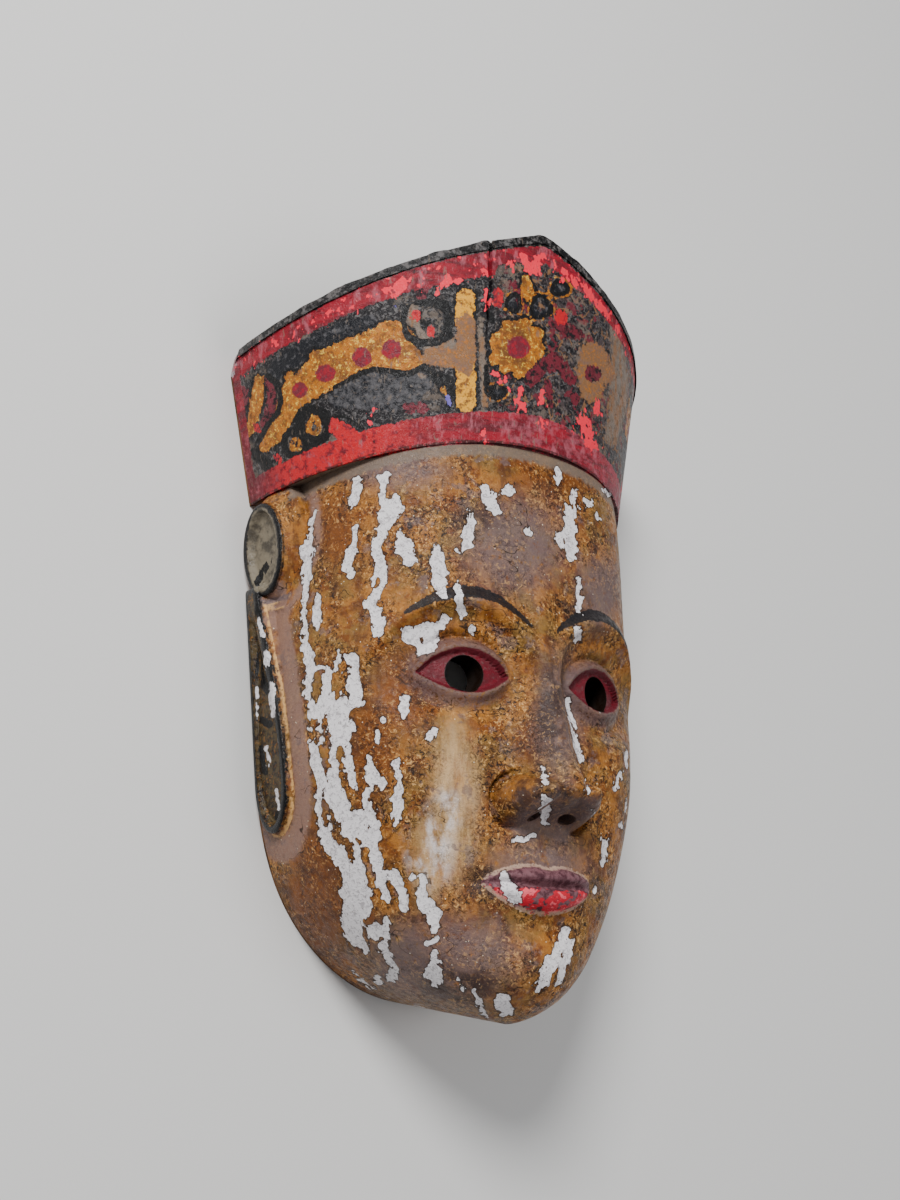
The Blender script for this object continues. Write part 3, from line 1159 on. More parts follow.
def paint_fields(wood):
    """Keeps every field on the mesh's points for the relief and the material to read."""
    mesh = wood.data
    points = mesh_points(mesh)
    normals = mesh_points(mesh, "normal")
    half_width, depth = hollow_sizes(points[:, 1])
    hollow = (np.abs(points[:, 0]) / np.maximum(half_width, MM)) ** HOLLOW_SQUARENESS
    hollow = hollow + (np.maximum(points[:, 2], 0) / np.maximum(depth, MM)) ** HOLLOW_SQUARENESS
    behind = np.where((points[:, 2] < 0.2 * MM) & (normals[:, 2] < -0.3), 1.0, -1.0)
    bare_back = np.where((hollow < 1.12) & (normals[:, 2] < 0.4), 1.0, behind)
    to_camera = np.array(camera_back) * CAMERA_DISTANCE - points
    to_camera /= np.linalg.norm(to_camera, axis=1)[:, None]
    facing = (normals * to_camera).sum(axis=1)
    pixels, span = in_photo(points)
    seen = smoothstep(facing, 0.02, 0.2)
    chips = inside_strokes(pixels, WHITE_CHIPS)
    chips = np.minimum(chips, -inside_strokes(pixels, PAINT_ISLANDS))
    chips = chips * span - 12 * (1 - seen)
    keep_fields(mesh, {"bare_back": bare_back, "unseen": 1 - seen, "chips": chips})
    soft = {"grime": GRIME, "rubbed": RUBBED, "whitened": WHITENED, "darkened": DARKENED, "amber": AMBER}
    keep_fields(mesh, {name: inside_patches(pixels, patches) * seen for name, patches in soft.items()})
    cap_fields(mesh, points)
    ear_fields(mesh, points)
    face_fields(mesh, points)


# Nodes of the relief and of the paint
class Graph:
    """Short ways to add nodes to one tree, for the relief and for the paint."""

    def __init__(self, tree):
        self.nodes = tree.nodes
        self.links = tree.links

    def set_input(self, socket, value):
        if isinstance(value, bpy.types.NodeSocket):
            self.links.new(value, socket)
        else:
            socket.default_value = value

    def add(self, kind, inputs, output=0, **settings):
        """Adds a node, gives its inputs values or links, and returns one of its outputs."""
        node = self.nodes.new(kind)
        for name, value in settings.items():
            setattr(node, name, value)
        for place, value in inputs.items():
            self.set_input(node.inputs[place], value)
        return node.outputs[output]

    def maths(self, operation, first, second=0.0):
        return self.add("ShaderNodeMath", {0: first, 1: second}, operation=operation)

    def times(self, first, second):
        return self.maths("MULTIPLY", first, second)

    def less(self, first, second):
        return self.maths("SUBTRACT", first, second)

    def ramp(self, value, low, high):
        limits = {"Value": value, "From Min": low, "From Max": high}
        return self.add("ShaderNodeMapRange", limits, "Result", interpolation_type="SMOOTHSTEP")


# Relief of the wear and of the tool marks, as Geometry Nodes
def relief_inputs(tree):
    """Names the measures of the relief that the tree takes, and gives them their values."""
    tree.interface.new_socket("Geometry", in_out="INPUT", socket_type="NodeSocketGeometry")
    for name, value in (
        ("Chip Depth", CHIP_DEPTH),
        ("Gouge Depth", GOUGE_DEPTH),
        ("Gouge Width", GOUGE_WIDTH),
        ("Surface Wave", SURFACE_WAVE),
        ("Edge Wear", EDGE_WEAR),
        ("Ridge Height", RIDGE_HEIGHT),
        ("Seed", RELIEF_SEED),
    ):
        socket = tree.interface.new_socket(name, in_out="INPUT", socket_type="NodeSocketFloat")
        socket.default_value = value
    tree.interface.new_socket("Geometry", in_out="OUTPUT", socket_type="NodeSocketGeometry")
    return tree.nodes.new("NodeGroupInput").outputs


def surface_move(graph, given, place):
    """How far each place moves outwards: waves and ridges less chips, gouges and worn edges."""
    def named(name):
        return graph.add("GeometryNodeInputNamedAttribute", {"Name": name}, "Attribute", data_type="FLOAT")

    def noise(size, detail):
        inputs = {"Vector": place, "W": given["Seed"], "Scale": 1 / size, "Detail": detail}
        return graph.add("ShaderNodeTexNoise", inputs, "Fac", noise_dimensions="4D")

    wave = graph.times(graph.less(noise(20 * MM, 3), 0.62), given["Surface Wave"])
    chips = graph.times(graph.ramp(named("chips"), -0.4, 0.6), given["Chip Depth"])
    per_gouge = graph.maths("DIVIDE", 1, given["Gouge Width"])
    marks = graph.add("ShaderNodeTexVoronoi", {"Vector": place, "Scale": per_gouge}, "Distance")
    gouges = graph.times(graph.maths("POWER", marks, 2), given["Gouge Depth"])
    gouges = graph.times(gouges, graph.ramp(named("bare_back"), 0.0, 1.0))
    worn = graph.times(graph.ramp(noise(9 * MM, 4), 0.42, 0.72), given["Edge Wear"])
    at_edge = graph.times(graph.ramp(named("cap_edge"), -1.0, 3.0), graph.ramp(named("cap"), -6.0, -0.5))
    ridges = graph.times(graph.ramp(named("ear_ridges"), -1.0, 0.4), given["Ridge Height"])
    moved = graph.less(graph.less(graph.less(wave, chips), gouges), graph.times(worn, at_edge))
    return graph.maths("ADD", moved, ridges)


def relief_tree(material):
    tree = bpy.data.node_groups.new("worn_relief", "GeometryNodeTree")
    graph = Graph(tree)
    given = relief_inputs(tree)
    place = graph.add("GeometryNodeInputPosition", {})
    height = graph.add("ShaderNodeSeparateXYZ", {0: place}, "Z")
    outward = graph.times(surface_move(graph, given, place), graph.ramp(height, 0.1 * MM, 2 * MM))
    normal = graph.add("GeometryNodeInputNormal", {})
    offset = graph.add("ShaderNodeVectorMath", {0: normal, "Scale": outward}, operation="SCALE")
    moved = graph.add("GeometryNodeSetPosition", {"Geometry": given["Geometry"], "Offset": offset})
    whole = graph.add("GeometryNodeRealizeInstances", {0: moved})
    finished = graph.add("GeometryNodeSetMaterial", {"Geometry": whole, "Material": material})
    tree.links.new(finished, tree.nodes.new("NodeGroupOutput").inputs[0])
    return tree


def with_relief(wood, material):
    change = wood.modifiers.new("relief", "NODES")
    change.node_group = relief_tree(material)
    evaluated = wood.evaluated_get(bpy.context.evaluated_depsgraph_get())
    mesh = bpy.data.meshes.new_from_object(evaluated)
    wood.modifiers.clear()
    wood.data = mesh
    points = mesh_points(mesh)
    top = points[:, 2].max()
    points[:, 2] *= min(1, MASK_HIGH[2] / top)
    points = np.clip(points, MASK_LOW, MASK_HIGH)
    mesh.vertices.foreach_set("co", points.ravel())
    mesh.shade_smooth()
    mesh.set_sharp_from_angle(angle=math.radians(50))
    mesh.update()
    return wood


# Painted and worn wood
def linear(red, green, blue):
    """A colour picked by eye in display values, as the shader wants it."""
    def straight(value):
        value = value / 255
        return value / 12.92 if value <= 0.04045 else ((value + 0.055) / 1.055) ** 2.4
    return (straight(red), straight(green), straight(blue), 1)


class Painter(Graph):
    """Builds one material as layers of paint, each laid over what is below it."""

    def __init__(self, name):
        self.material = bpy.data.materials.new(name)
        self.material.use_nodes = True
        super().__init__(self.material.node_tree)
        self.shader = self.nodes["Principled BSDF"]
        self.place = self.add("ShaderNodeTexCoord", {}, "Object")

    def most(self, first, second):
        return self.maths("MAXIMUM", first, second)

    def field(self, name):
        return self.add("ShaderNodeAttribute", {}, "Fac", attribute_name=name)

    def moved(self, stretch, shift):
        place = (shift * MM, 0.7 * shift * MM, 1.3 * shift * MM)
        inputs = {"Scale": stretch, "Location": place, "Vector": self.place}
        return self.add("ShaderNodeMapping", inputs)

    def noise(self, size_mm, detail=4, rough=0.6, stretch=(1, 1, 1), shift=0.0, warp=0.0):
        inputs = {
            "Vector": self.moved(stretch, shift),
            "Scale": 1 / (size_mm * MM),
            "Detail": detail,
            "Roughness": rough,
            "Distortion": warp,
        }
        return self.add("ShaderNodeTexNoise", inputs, "Fac")

    def cells(self, size_mm, shift):
        inputs = {"Vector": self.moved((1, 1, 1), shift), "Scale": 1 / (size_mm * MM)}
        return self.add("ShaderNodeTexVoronoi", inputs, "Distance")

    def lines(self, noise, wide, narrow):
        """Thin winding lines where a noise crosses its middle."""
        return self.ramp(self.maths("ABSOLUTE", self.less(noise, 0.5)), wide, narrow)

    def mixed(self, mask, below, above, share=None):
        """Lays one colour over another by a mask, or thinly by a share of it."""
        factor = mask if share is None else self.times(mask, share)
        inputs = {"Factor": factor, "A": below, "B": above}
        return self.add("ShaderNodeMix", inputs, "Result", data_type="RGBA")

    def blended(self, factor, below, above):
        inputs = {"Factor": factor, "A": below, "B": above}
        return self.add("ShaderNodeMix", inputs, "Result")

    def between(self, value, low, high, first, second, share=None):
        """Passes from one colour to another as a value goes from low to high."""
        return self.mixed(self.ramp(value, low, high), first, second, share)

    def edge(self, field, ragged, amount, soft=0.12, grow=0.0):
        """Mask of a field whose edge is made ragged by a noise, in millimetres."""
        wander = self.times(self.less(ragged, 0.5), 2 * amount)
        return self.ramp(self.maths("ADD", self.field(field), wander), -soft - grow, soft - grow)

    def coat(self, below, above, field, ragged, amount, soft=0.12, grow=0.0, share=None):
        """Lays one colour over another inside a field."""
        return self.mixed(self.edge(field, ragged, amount, soft, grow), below, above, share)

    def wear(self, below, above, field, noise, low, high, share=None):
        """Lays one colour over another where both a soft field and a noise let it."""
        mask = self.times(self.field(field), self.ramp(noise, low, high))
        return self.mixed(mask, below, above, share)


AMBER_BROWN = linear(112, 56, 10)
OCHRE = linear(162, 104, 40)
OCHRE_OLIVE = linear(132, 96, 44)
OCHRE_LIGHT = linear(224, 174, 108)
UMBER = linear(78, 42, 18)
CREVICE = linear(28, 17, 11)
SMOKE = linear(58, 42, 38)
GRIME_MAUVE = linear(108, 91, 90)
RUBBED_TAN = linear(206, 170, 124)
SPARKLE = linear(240, 226, 200)
GROOVE_PINK = linear(138, 108, 96)
CHIP_WHITE = linear(232, 227, 228)
CHIP_GREY = linear(176, 170, 172)
LACQUER_BLACK = linear(12, 11, 12)
BROW_BLACK = linear(22, 23, 27)
CHARCOAL = linear(20, 17, 20)
CHARCOAL_GREY = linear(96, 92, 91)
CLOUD_GREY = linear(84, 82, 84)
CLOUD_NAVY = linear(17, 18, 24)
CRIMSON = linear(146, 20, 38)
CRIMSON_BRIGHT = linear(188, 26, 34)
CRIMSON_DULL = linear(92, 22, 32)
MAROON_RED = linear(106, 32, 44)
PINK = linear(244, 44, 66)
GOLD = linear(176, 104, 20)
GOLD_BRIGHT = linear(248, 206, 84)
GOLD_YELLOW = linear(226, 160, 40)
GOLD_BROWN = linear(108, 66, 28)
GOLD_FADED = linear(130, 92, 60)
BARE_GREY = linear(116, 102, 90)
VIOLET = linear(104, 92, 170)
LIP = linear(122, 82, 88)
LIP_DARK = linear(74, 38, 46)
LIP_BRIGHT = linear(196, 30, 48)
LIP_PINK = linear(240, 96, 106)
LIP_EDGE = linear(190, 158, 136)
LID_GREY = linear(98, 78, 78)
EYE_CRIMSON = linear(104, 14, 30)
EAR_GREEN = linear(124, 114, 96)
EAR_OLIVE = linear(74, 60, 34)
WORN_PINK = linear(180, 98, 110)
WOOD = linear(118, 80, 46)
WOOD_DARK = linear(66, 42, 24)


def face_paint(paint, fine, patches):
    """Ochre lacquer over the carving, amber where it is thick and mauve where it is soiled."""
    colour = paint.between(patches, 0.42, 0.58, OCHRE, OCHRE_OLIVE)
    mottled = paint.noise(7, 5, 0.65, shift=31)
    thick = paint.most(paint.field("amber"), paint.ramp(mottled, 0.47, 0.62))
    colour = paint.mixed(thick, colour, AMBER_BROWN, 0.85)
    dim = paint.noise(10, 5, 0.65, shift=67)
    colour = paint.between(dim, 0.5, 0.68, colour, UMBER, 0.8)
    streaks = paint.noise(4, 4, 0.6, stretch=(1, 0.2, 1), shift=11)
    colour = paint.between(streaks, 0.5, 0.66, colour, UMBER, 0.6)
    colour = paint.wear(colour, RUBBED_TAN, "rubbed", streaks, 0.2, 0.66, 0.9)
    hazy = paint.noise(6, 5, 0.65, stretch=(1, 0.5, 1), shift=117)
    colour = paint.wear(colour, CHIP_WHITE, "whitened", hazy, 0.4, 0.62, 0.7)
    colour = paint.coat(colour, GROOVE_PINK, "ear_groove", fine, 3.0, 1.5, share=0.85)
    colour = paint.coat(colour, GRIME_MAUVE, "ear_neck", fine, 1.6, 0.8)
    colour = paint.coat(colour, OCHRE_LIGHT, "ear_ridges", fine, 0.6, 0.3, share=0.6)
    grime = paint.times(paint.field("grime"), paint.ramp(fine, 0.25, 0.5))
    loose = paint.times(paint.ramp(paint.noise(9, 5, 0.65, shift=5), 0.56, 0.62), 0.7)
    loose = paint.times(loose, paint.less(1.0, paint.field("amber")))
    colour = paint.mixed(paint.most(grime, loose), colour, GRIME_MAUVE, 0.85)
    return paint.wear(colour, SMOKE, "darkened", mottled, 0.36, 0.54, 0.85)


def grain_over(paint, colour, grain, density):
    """Dark crevices and light grains of the crackled lacquer, with a few glints and long cracks."""
    crevices = paint.times(paint.ramp(grain, 0.48, 0.41), density)
    colour = paint.mixed(crevices, colour, CREVICE, 0.95)
    grains = paint.times(paint.ramp(grain, 0.56, 0.62), density)
    colour = paint.mixed(grains, colour, OCHRE_LIGHT, 0.7)
    worms = paint.lines(paint.noise(3.4, 3, 0.6, shift=101, warp=0.5), 0.02, 0.008)
    here = paint.ramp(paint.noise(5, 3, 0.6, shift=107), 0.46, 0.54)
    worms = paint.times(paint.times(worms, density), here)
    colour = paint.mixed(worms, colour, CREVICE, 0.9)
    glints = paint.ramp(paint.cells(1.9, shift=19), 0.14, 0.08)
    glints = paint.times(glints, paint.ramp(paint.noise(4, 4, 0.7, shift=17), 0.53, 0.6))
    colour = paint.mixed(glints, colour, SPARKLE)
    cracks = paint.lines(paint.noise(26, 3, 0.55, stretch=(0.55, 1.3, 1), shift=83), 0.0032, 0.0012)
    cracks = paint.times(cracks, paint.ramp(paint.noise(12, 2, 0.5, shift=29), 0.5, 0.56))
    return paint.mixed(cracks, colour, CREVICE, 0.85)


def features_paint(paint, colour, ragged, fine, grain):
    """Brows, eyes, lips and the bare line under the cap."""
    ring = paint.times(paint.edge("eye_ring", ragged, 2.6, 1.8), paint.ramp(grain, 0.36, 0.5))
    colour = paint.mixed(ring, colour, LID_GREY, 0.8)
    colour = paint.coat(colour, CRIMSON_DULL, "eye_white", ragged, 0.8, 0.25, grow=0.9)
    white = paint.between(fine, 0.4, 0.58, EYE_CRIMSON, CRIMSON_DULL)
    white = paint.between(grain, 0.55, 0.64, white, LID_GREY, 0.45)
    colour = paint.coat(colour, white, "eye_white", ragged, 0.4, 0.3, grow=-0.6)
    colour = paint.coat(colour, GRIME_MAUVE, "under_nose", ragged, 2.0, 2.0, share=0.7)
    lip = paint.between(fine, 0.4, 0.62, LIP, LIP_DARK)
    colour = paint.coat(colour, lip, "lips", ragged, 0.6, 0.3)
    lost = paint.noise(5, 3, 0.55, stretch=(0.7, 1, 1), shift=71)
    red = paint.between(lost, 0.47, 0.45, LIP_BRIGHT, LIP_PINK)
    red = paint.between(grain, 0.42, 0.36, red, LIP_DARK, 0.6)
    still_red = paint.ramp(lost, 0.56, 0.54)
    colour = paint.coat(colour, red, "lower_lip", ragged, 2.0, 0.2, share=still_red)
    rim = paint.times(paint.edge("lip_line", ragged, 0.8, 0.2), paint.ramp(fine, 0.4, 0.5))
    colour = paint.mixed(rim, colour, LIP_EDGE, 0.75)
    brow = paint.times(paint.edge("brow", ragged, 1.3, 0.2), paint.ramp(grain, 0.3, 0.38))
    colour = paint.mixed(brow, colour, BROW_BLACK, 0.95)
    return paint.coat(colour, BARE_GREY, "under_cap", ragged, 2.4, 1.0, share=0.8)


def gold_paint(paint, fine, patches, grain):
    gold = paint.between(patches, 0.48, 0.66, GOLD, GOLD_BROWN)
    gold = paint.between(fine, 0.5, 0.6, gold, GOLD_BROWN, 0.8)
    gold = paint.between(fine, 0.42, 0.34, gold, GOLD_BRIGHT, 0.7)
    gold = paint.between(grain, 0.46, 0.38, gold, UMBER, 0.45)
    return paint.between(grain, 0.56, 0.64, gold, GOLD_BRIGHT, 0.7)


def cap_ground(paint, fine, patches, grain):
    """The dark ground of the cap with its winding brown strokes, blots and rubbed places."""
    colour = paint.between(grain, 0.49, 0.64, CHARCOAL, CHARCOAL_GREY)
    winding = paint.lines(paint.noise(7, 2, 0.45, shift=13, warp=0.6), 0.028, 0.018)
    busy = paint.field("cap_busy")
    colour = paint.wear(colour, GRIME_MAUVE, "cap_busy", fine, 0.46, 0.6, 0.35)
    brown = paint.times(paint.times(winding, paint.ramp(fine, 0.45, 0.52)), busy)
    colour = paint.mixed(brown, colour, GOLD_FADED, 0.85)
    blots = paint.noise(5, 3, 0.6, shift=47)
    colour = paint.wear(colour, MAROON_RED, "cap_busy", blots, 0.57, 0.6, 0.85)
    rubbed = paint.times(paint.ramp(patches, 0.52, 0.6), paint.ramp(fine, 0.45, 0.55))
    return paint.mixed(rubbed, colour, BARE_GREY, 0.55)


def band_paint(paint, fine, patches):
    """Crimson brushed along the band, dulled, scuffed to pink and worn through to charcoal."""
    strokes = paint.noise(5, 5, 0.65, stretch=(0.25, 1.6, 0.25), shift=7)
    band = paint.between(strokes, 0.45, 0.62, CRIMSON, CRIMSON_DULL)
    band = paint.between(patches, 0.5, 0.6, band, CRIMSON_DULL, 0.7)
    scuffs = paint.noise(3.4, 5, 0.7, stretch=(1, 0.4, 1), shift=73)
    band = paint.between(scuffs, 0.5, 0.66, band, WORN_PINK, 0.6)
    through = paint.times(paint.ramp(scuffs, 0.36, 0.33), paint.ramp(fine, 0.4, 0.5))
    return paint.mixed(through, band, CHARCOAL, 0.8)


def clouds_over(paint, colour, ragged, fine, grain):
    """The dark clouds and the places where the cap's ground is rubbed bare."""
    cloud = paint.between(fine, 0.4, 0.64, CLOUD_NAVY, CLOUD_GREY)
    cloud = paint.between(grain, 0.58, 0.64, cloud, BARE_GREY, 0.5)
    colour = paint.coat(colour, cloud, "cap_cloud", ragged, 1.2, 0.4)
    night = paint.between(fine, 0.5, 0.66, CLOUD_NAVY, CLOUD_GREY)
    colour = paint.coat(colour, night, "cap_night", ragged, 1.6, 0.4)
    streaky = paint.noise(4, 5, 0.7, stretch=(1, 0.3, 1), shift=41)
    bare = paint.between(streaky, 0.46, 0.6, BARE_GREY, GOLD_FADED)
    bare = paint.between(grain, 0.54, 0.64, bare, CHARCOAL, 0.6)
    return paint.coat(colour, bare, "cap_bare", ragged, 2.6, 0.5)


def figures_over(paint, colour, ragged, fine, patches, grain):
    """Gold cloud, bar and flower with their red dots, dark outlines, curls and dabs."""
    gold = gold_paint(paint, fine, patches, grain)
    yellow = paint.between(fine, 0.46, 0.62, GOLD_YELLOW, gold)
    faded = paint.between(grain, 0.54, 0.62, GOLD_FADED, GOLD)
    faded = paint.between(fine, 0.5, 0.62, faded, GRIME_MAUVE, 0.45)
    maroon = paint.between(fine, 0.46, 0.6, MAROON_RED, CHARCOAL)
    dots = paint.between(fine, 0.45, 0.6, MAROON_RED, CRIMSON)
    red = paint.between(fine, 0.5, 0.62, CRIMSON_BRIGHT, MAROON_RED)
    rim_share, line_share = paint.ramp(fine, 0.38, 0.5), paint.ramp(fine, 0.38, 0.46)
    for above, field, amount, soft, grow, share in (
        (LACQUER_BLACK, "cap_gold", 1.6, 0.2, 1.1, rim_share),
        (gold, "cap_gold", 1.8, 0.12, 0, None),
        (yellow, "cap_stripe", 1.8, 0.12, 0, None),
        (faded, "cap_faded", 2.6, 0.5, 0, None),
        (maroon, "cap_maroon", 1.8, 0.12, 0, None),
        (dots, "cap_dots", 1.2, 0.3, 0, None),
        (LACQUER_BLACK, "cap_ink", 0.9, 0.12, 0, None),
        (gold, "cap_curls", 1.2, 0.12, 0, line_share),
        (red, "cap_red", 2.2, 0.12, 0, None),
        (VIOLET, "cap_violet", 1.8, 0.12, 0, None),
    ):
        colour = paint.coat(colour, above, field, ragged, amount, soft, grow, share)
    return colour


def bands_over(paint, colour, ragged, fine, patches):
    """The crimson bands above and below, the dark line at the foot and the pink flecks."""
    band = band_paint(paint, fine, patches)
    lower = paint.wear(band, WORN_PINK, "cap_busy", fine, 0.4, 0.65, 0.5)
    lower = paint.wear(lower, CRIMSON_BRIGHT, "cap_brighter", fine, 0.62, 0.48)
    lower = paint.wear(lower, CRIMSON_DULL, "cap_end", fine, 0.34, 0.56, 0.8)
    colour = paint.coat(colour, lower, "cap_lower_band", ragged, 1.4)
    foot = paint.times(paint.edge("cap_foot_line", ragged, 0.8, 0.25), paint.ramp(fine, 0.4, 0.5))
    colour = paint.mixed(foot, colour, CREVICE, 0.8)
    colour = paint.coat(colour, band, "cap_upper_band", ragged, 2.0)
    flakes = paint.noise(2.4, 2, 0.5, stretch=(1, 0.7, 1), shift=61)
    colour = paint.coat(colour, PINK, "cap_pink", flakes, 4.5, 0.1, grow=-0.5)
    flecks = paint.ramp(flakes, 0.63, 0.645)
    return paint.coat(colour, PINK, "cap_upper_band", ragged, 1.4, grow=1.5, share=flecks)


def cap_paint(paint, ragged, fine, patches, grain):
    """Charcoal field with gold clouds and flowers between crimson bands."""
    colour = cap_ground(paint, fine, patches, grain)
    colour = clouds_over(paint, colour, ragged, fine, grain)
    colour = figures_over(paint, colour, ragged, fine, patches, grain)
    colour = bands_over(paint, colour, ragged, fine, patches)
    edge = paint.between(fine, 0.48, 0.62, LACQUER_BLACK, CHARCOAL_GREY)
    colour = paint.coat(colour, edge, "cap_edge", ragged, 1.6)
    pale = paint.between(fine, 0.42, 0.56, WORN_PINK, CHIP_GREY)
    colour = paint.coat(colour, pale, "cap_corner", ragged, 3.0, 0.8, share=0.9)
    roof = paint.between(fine, 0.4, 0.6, WOOD_DARK, CHARCOAL)
    colour = paint.coat(colour, roof, "cap_roof", ragged, 1.2, 0.3)
    scratches = paint.noise(1.5, 4, 0.7, stretch=(1, 0.25, 1), shift=77)
    return paint.between(scratches, 0.61, 0.66, colour, BARE_GREY, 0.55)


def ear_paint(paint, colour, ragged, fine, grain):
    """Black lacquered ears, their dishes grey-green above and olive below."""
    colour = paint.coat(colour, LACQUER_BLACK, "ear", ragged, 0.5, 0.2)
    smoky = paint.noise(6, 5, 0.65, shift=37)
    bowl = paint.between(smoky, 0.44, 0.66, EAR_GREEN, CHARCOAL, 0.7)
    colour = paint.coat(colour, bowl, "ear_bowl", ragged, 1.2, 0.5)
    lobe = paint.between(fine, 0.42, 0.62, EAR_OLIVE, CREVICE)
    lobe = paint.between(grain, 0.56, 0.64, lobe, OCHRE, 0.5)
    colour = paint.coat(colour, lobe, "ear_lobe", ragged, 1.2, 0.4)
    colour = paint.coat(colour, LACQUER_BLACK, "ear_ink", ragged, 1.0)
    line = paint.times(paint.edge("ear_line", ragged, 0.8, 0.3), paint.ramp(fine, 0.4, 0.5))
    return paint.mixed(line, colour, OCHRE_LIGHT, 0.8)


def chipped_white(paint, knobbly):
    """Where the white ground shows: the strokes on the seen side, scattered flakes on the other."""
    near_chips = paint.most(
        paint.edge("chips", knobbly, 2.4, 0.08), paint.edge("ear_chips", knobbly, 1.4, 0.08)
    )
    flakes = paint.noise(10, 4, 0.6, stretch=(1, 0.35, 1))
    far_chips = paint.times(paint.ramp(flakes, 0.632, 0.64), paint.field("unseen"))
    far_chips = paint.times(far_chips, paint.ramp(paint.field("cap"), 0.0, -0.4))
    return paint.most(near_chips, far_chips)


def chips_over(paint, colour, chips, knobbly, grain):
    """White ground inside the chips, with a dark broken edge of lacquer round them."""
    colour = paint.coat(colour, CREVICE, "chips", knobbly, 2.4, 0.15, grow=0.45, share=0.75)
    white = paint.between(grain, 0.5, 0.62, CHIP_WHITE, CHIP_GREY)
    specks = paint.noise(0.9, 2, 0.6, shift=91)
    white = paint.between(specks, 0.66, 0.7, white, UMBER, 0.8)
    return paint.mixed(chips, colour, white)


def crackle_density(paint, fine):
    """How thickly the crackle lies: in patches, and less where the face is rubbed or soiled."""
    density = paint.ramp(paint.noise(13, 4, 0.6, shift=23), 0.38, 0.56)
    density = paint.maths("ADD", paint.times(density, 0.85), 0.15)
    smooth = paint.most(paint.field("rubbed"), paint.times(paint.field("grime"), 0.7))
    smooth = paint.most(smooth, paint.times(paint.field("amber"), 0.3))
    smooth = paint.most(smooth, paint.edge("ear_groove", fine, 3.0, 1.5))
    return paint.times(density, paint.less(1.0, paint.times(smooth, 0.8)))


def finish_surface(paint, ragged, fine, grain, chips, back):
    """Gloss and fine grit of the lacquer, the ears, the bare chips and the bare back."""
    gloss = paint.blended(paint.ramp(fine, 0.4, 0.65), LACQUER_ROUGHNESS, WORN_ROUGHNESS)
    gloss = paint.blended(paint.edge("ear", ragged, 0.5, 0.2), gloss, EAR_ROUGHNESS)
    gloss = paint.blended(chips, gloss, CHIP_ROUGHNESS)
    gloss = paint.blended(back, gloss, WOOD_ROUGHNESS)
    grit = paint.maths("ADD", paint.times(fine, 0.5), paint.times(grain, 0.9))
    height = paint.less(grit, paint.times(chips, 0.6))
    bump = {"Strength": 0.9, "Distance": GRIT_HEIGHT, "Height": height}
    inputs = paint.shader.inputs
    paint.set_input(inputs["Roughness"], gloss)
    paint.set_input(inputs["Specular IOR Level"], LACQUER_SHINE)
    paint.set_input(inputs["Normal"], paint.add("ShaderNodeBump", bump))


def worn_paint():
    paint = Painter("painted_wood")
    patches = paint.noise(16, 5, 0.6)
    fine = paint.noise(2.6, 6, 0.68, shift=3)
    ragged = paint.noise(1.7, 3, 0.6, stretch=(1, 0.75, 1), shift=43)
    knobbly = paint.noise(2.5, 2, 0.5, stretch=(1, 0.8, 1), shift=53)
    grain = paint.noise(1.5, 4, 0.72, shift=91, warp=0.9)
    face = grain_over(paint, face_paint(paint, fine, patches), grain, crackle_density(paint, fine))
    face = features_paint(paint, face, ragged, fine, grain)
    cap = cap_paint(paint, ragged, fine, patches, grain)
    colour = paint.coat(face, cap, "cap", ragged, 0.3, 0.2)
    colour = ear_paint(paint, colour, ragged, fine, grain)
    chips = chipped_white(paint, knobbly)
    colour = chips_over(paint, colour, chips, knobbly, grain)
    veins = paint.noise(3, 6, 0.6, stretch=(1, 0.12, 1))
    wood = paint.between(veins, 0.35, 0.65, WOOD, WOOD_DARK)
    back = paint.ramp(paint.field("bare_back"), -0.1, 0.1)
    colour = paint.mixed(back, colour, wood)
    colour = paint.between(paint.field("bored"), -0.1, 0.3, colour, CREVICE)
    paint.set_input(paint.shader.inputs["Base Color"], colour)
    finish_surface(paint, ragged, fine, grain, chips, back)
    return paint.material


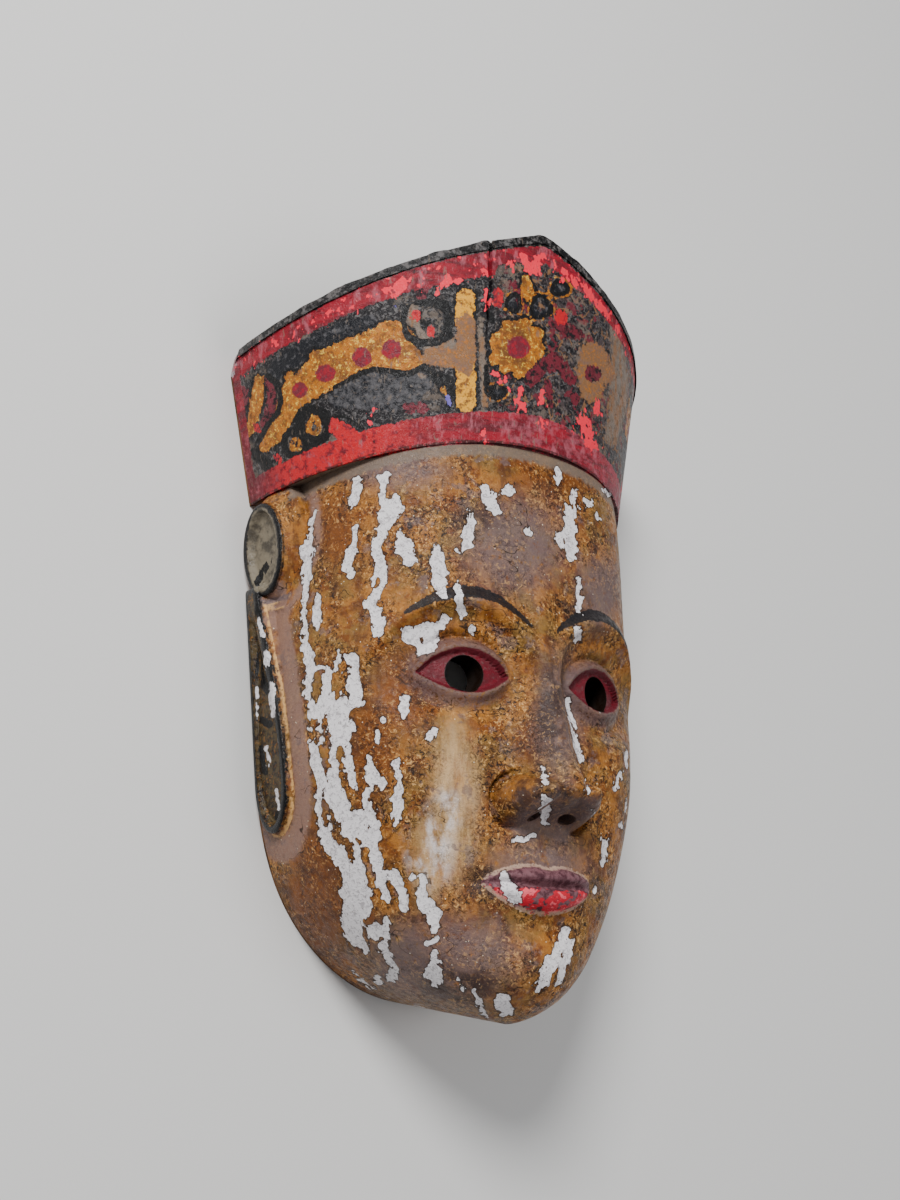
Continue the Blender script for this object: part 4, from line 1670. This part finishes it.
# Floor, light and camera
def pale_floor():
    bpy.ops.mesh.primitive_plane_add(size=6, location=(0, 0, 0))
    floor = bpy.context.object
    floor.name = "floor"
    material = bpy.data.materials.new("floor")
    material.use_nodes = True
    shader = material.node_tree.nodes["Principled BSDF"]
    shader.inputs["Base Color"].default_value = (0.72, 0.71, 0.69, 1)
    shader.inputs["Roughness"].default_value = 0.9
    floor.data.materials.append(material)


def soft_light(name, direction, distance, size, power):
    light = bpy.data.lights.new(name, "AREA")
    light.shape = "DISK"
    light.size = size
    light.energy = power
    lamp = bpy.data.objects.new(name, light)
    bpy.context.scene.collection.objects.link(lamp)
    direction = Vector(direction).normalized()
    lamp.location = direction * distance
    lamp.rotation_euler = direction.to_track_quat("Z", "Y").to_euler()


def studio():
    pale_floor()
    key = camera_back * 0.9 - camera_right * 0.04 + camera_up * 0.85
    fill = camera_back * 0.7 + camera_right * 0.9
    soft_light("key", key, *KEY_LIGHT)
    soft_light("fill", fill, *FILL_LIGHT)
    world = bpy.data.worlds.new("studio")
    bpy.context.scene.world = world
    world.use_nodes = True
    background = world.node_tree.nodes["Background"]
    background.inputs["Color"].default_value = (0.9, 0.93, 1.0, 1)
    background.inputs["Strength"].default_value = SKY_STRENGTH


def photo_camera():
    data = bpy.data.cameras.new("camera")
    data.sensor_width = SENSOR
    data.lens = FOCAL_PIXELS / PHOTO_HEIGHT * SENSOR
    data.shift_x = (PHOTO_WIDTH / 2 - VIEW_CENTRE[0]) / PHOTO_HEIGHT
    data.shift_y = (VIEW_CENTRE[1] - PHOTO_HEIGHT / 2) / PHOTO_HEIGHT
    camera = bpy.data.objects.new("camera", data)
    bpy.context.scene.collection.objects.link(camera)
    turn = Matrix((camera_right, camera_up, camera_back)).transposed()
    camera.matrix_world = Matrix.Translation(camera_back * CAMERA_DISTANCE) @ turn.to_4x4()
    bpy.context.scene.camera = camera


wood = carve_mask()
paint_fields(wood)
wood = with_relief(wood, worn_paint())
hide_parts("carved_mask")
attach(wood, "root")
studio()
photo_camera()
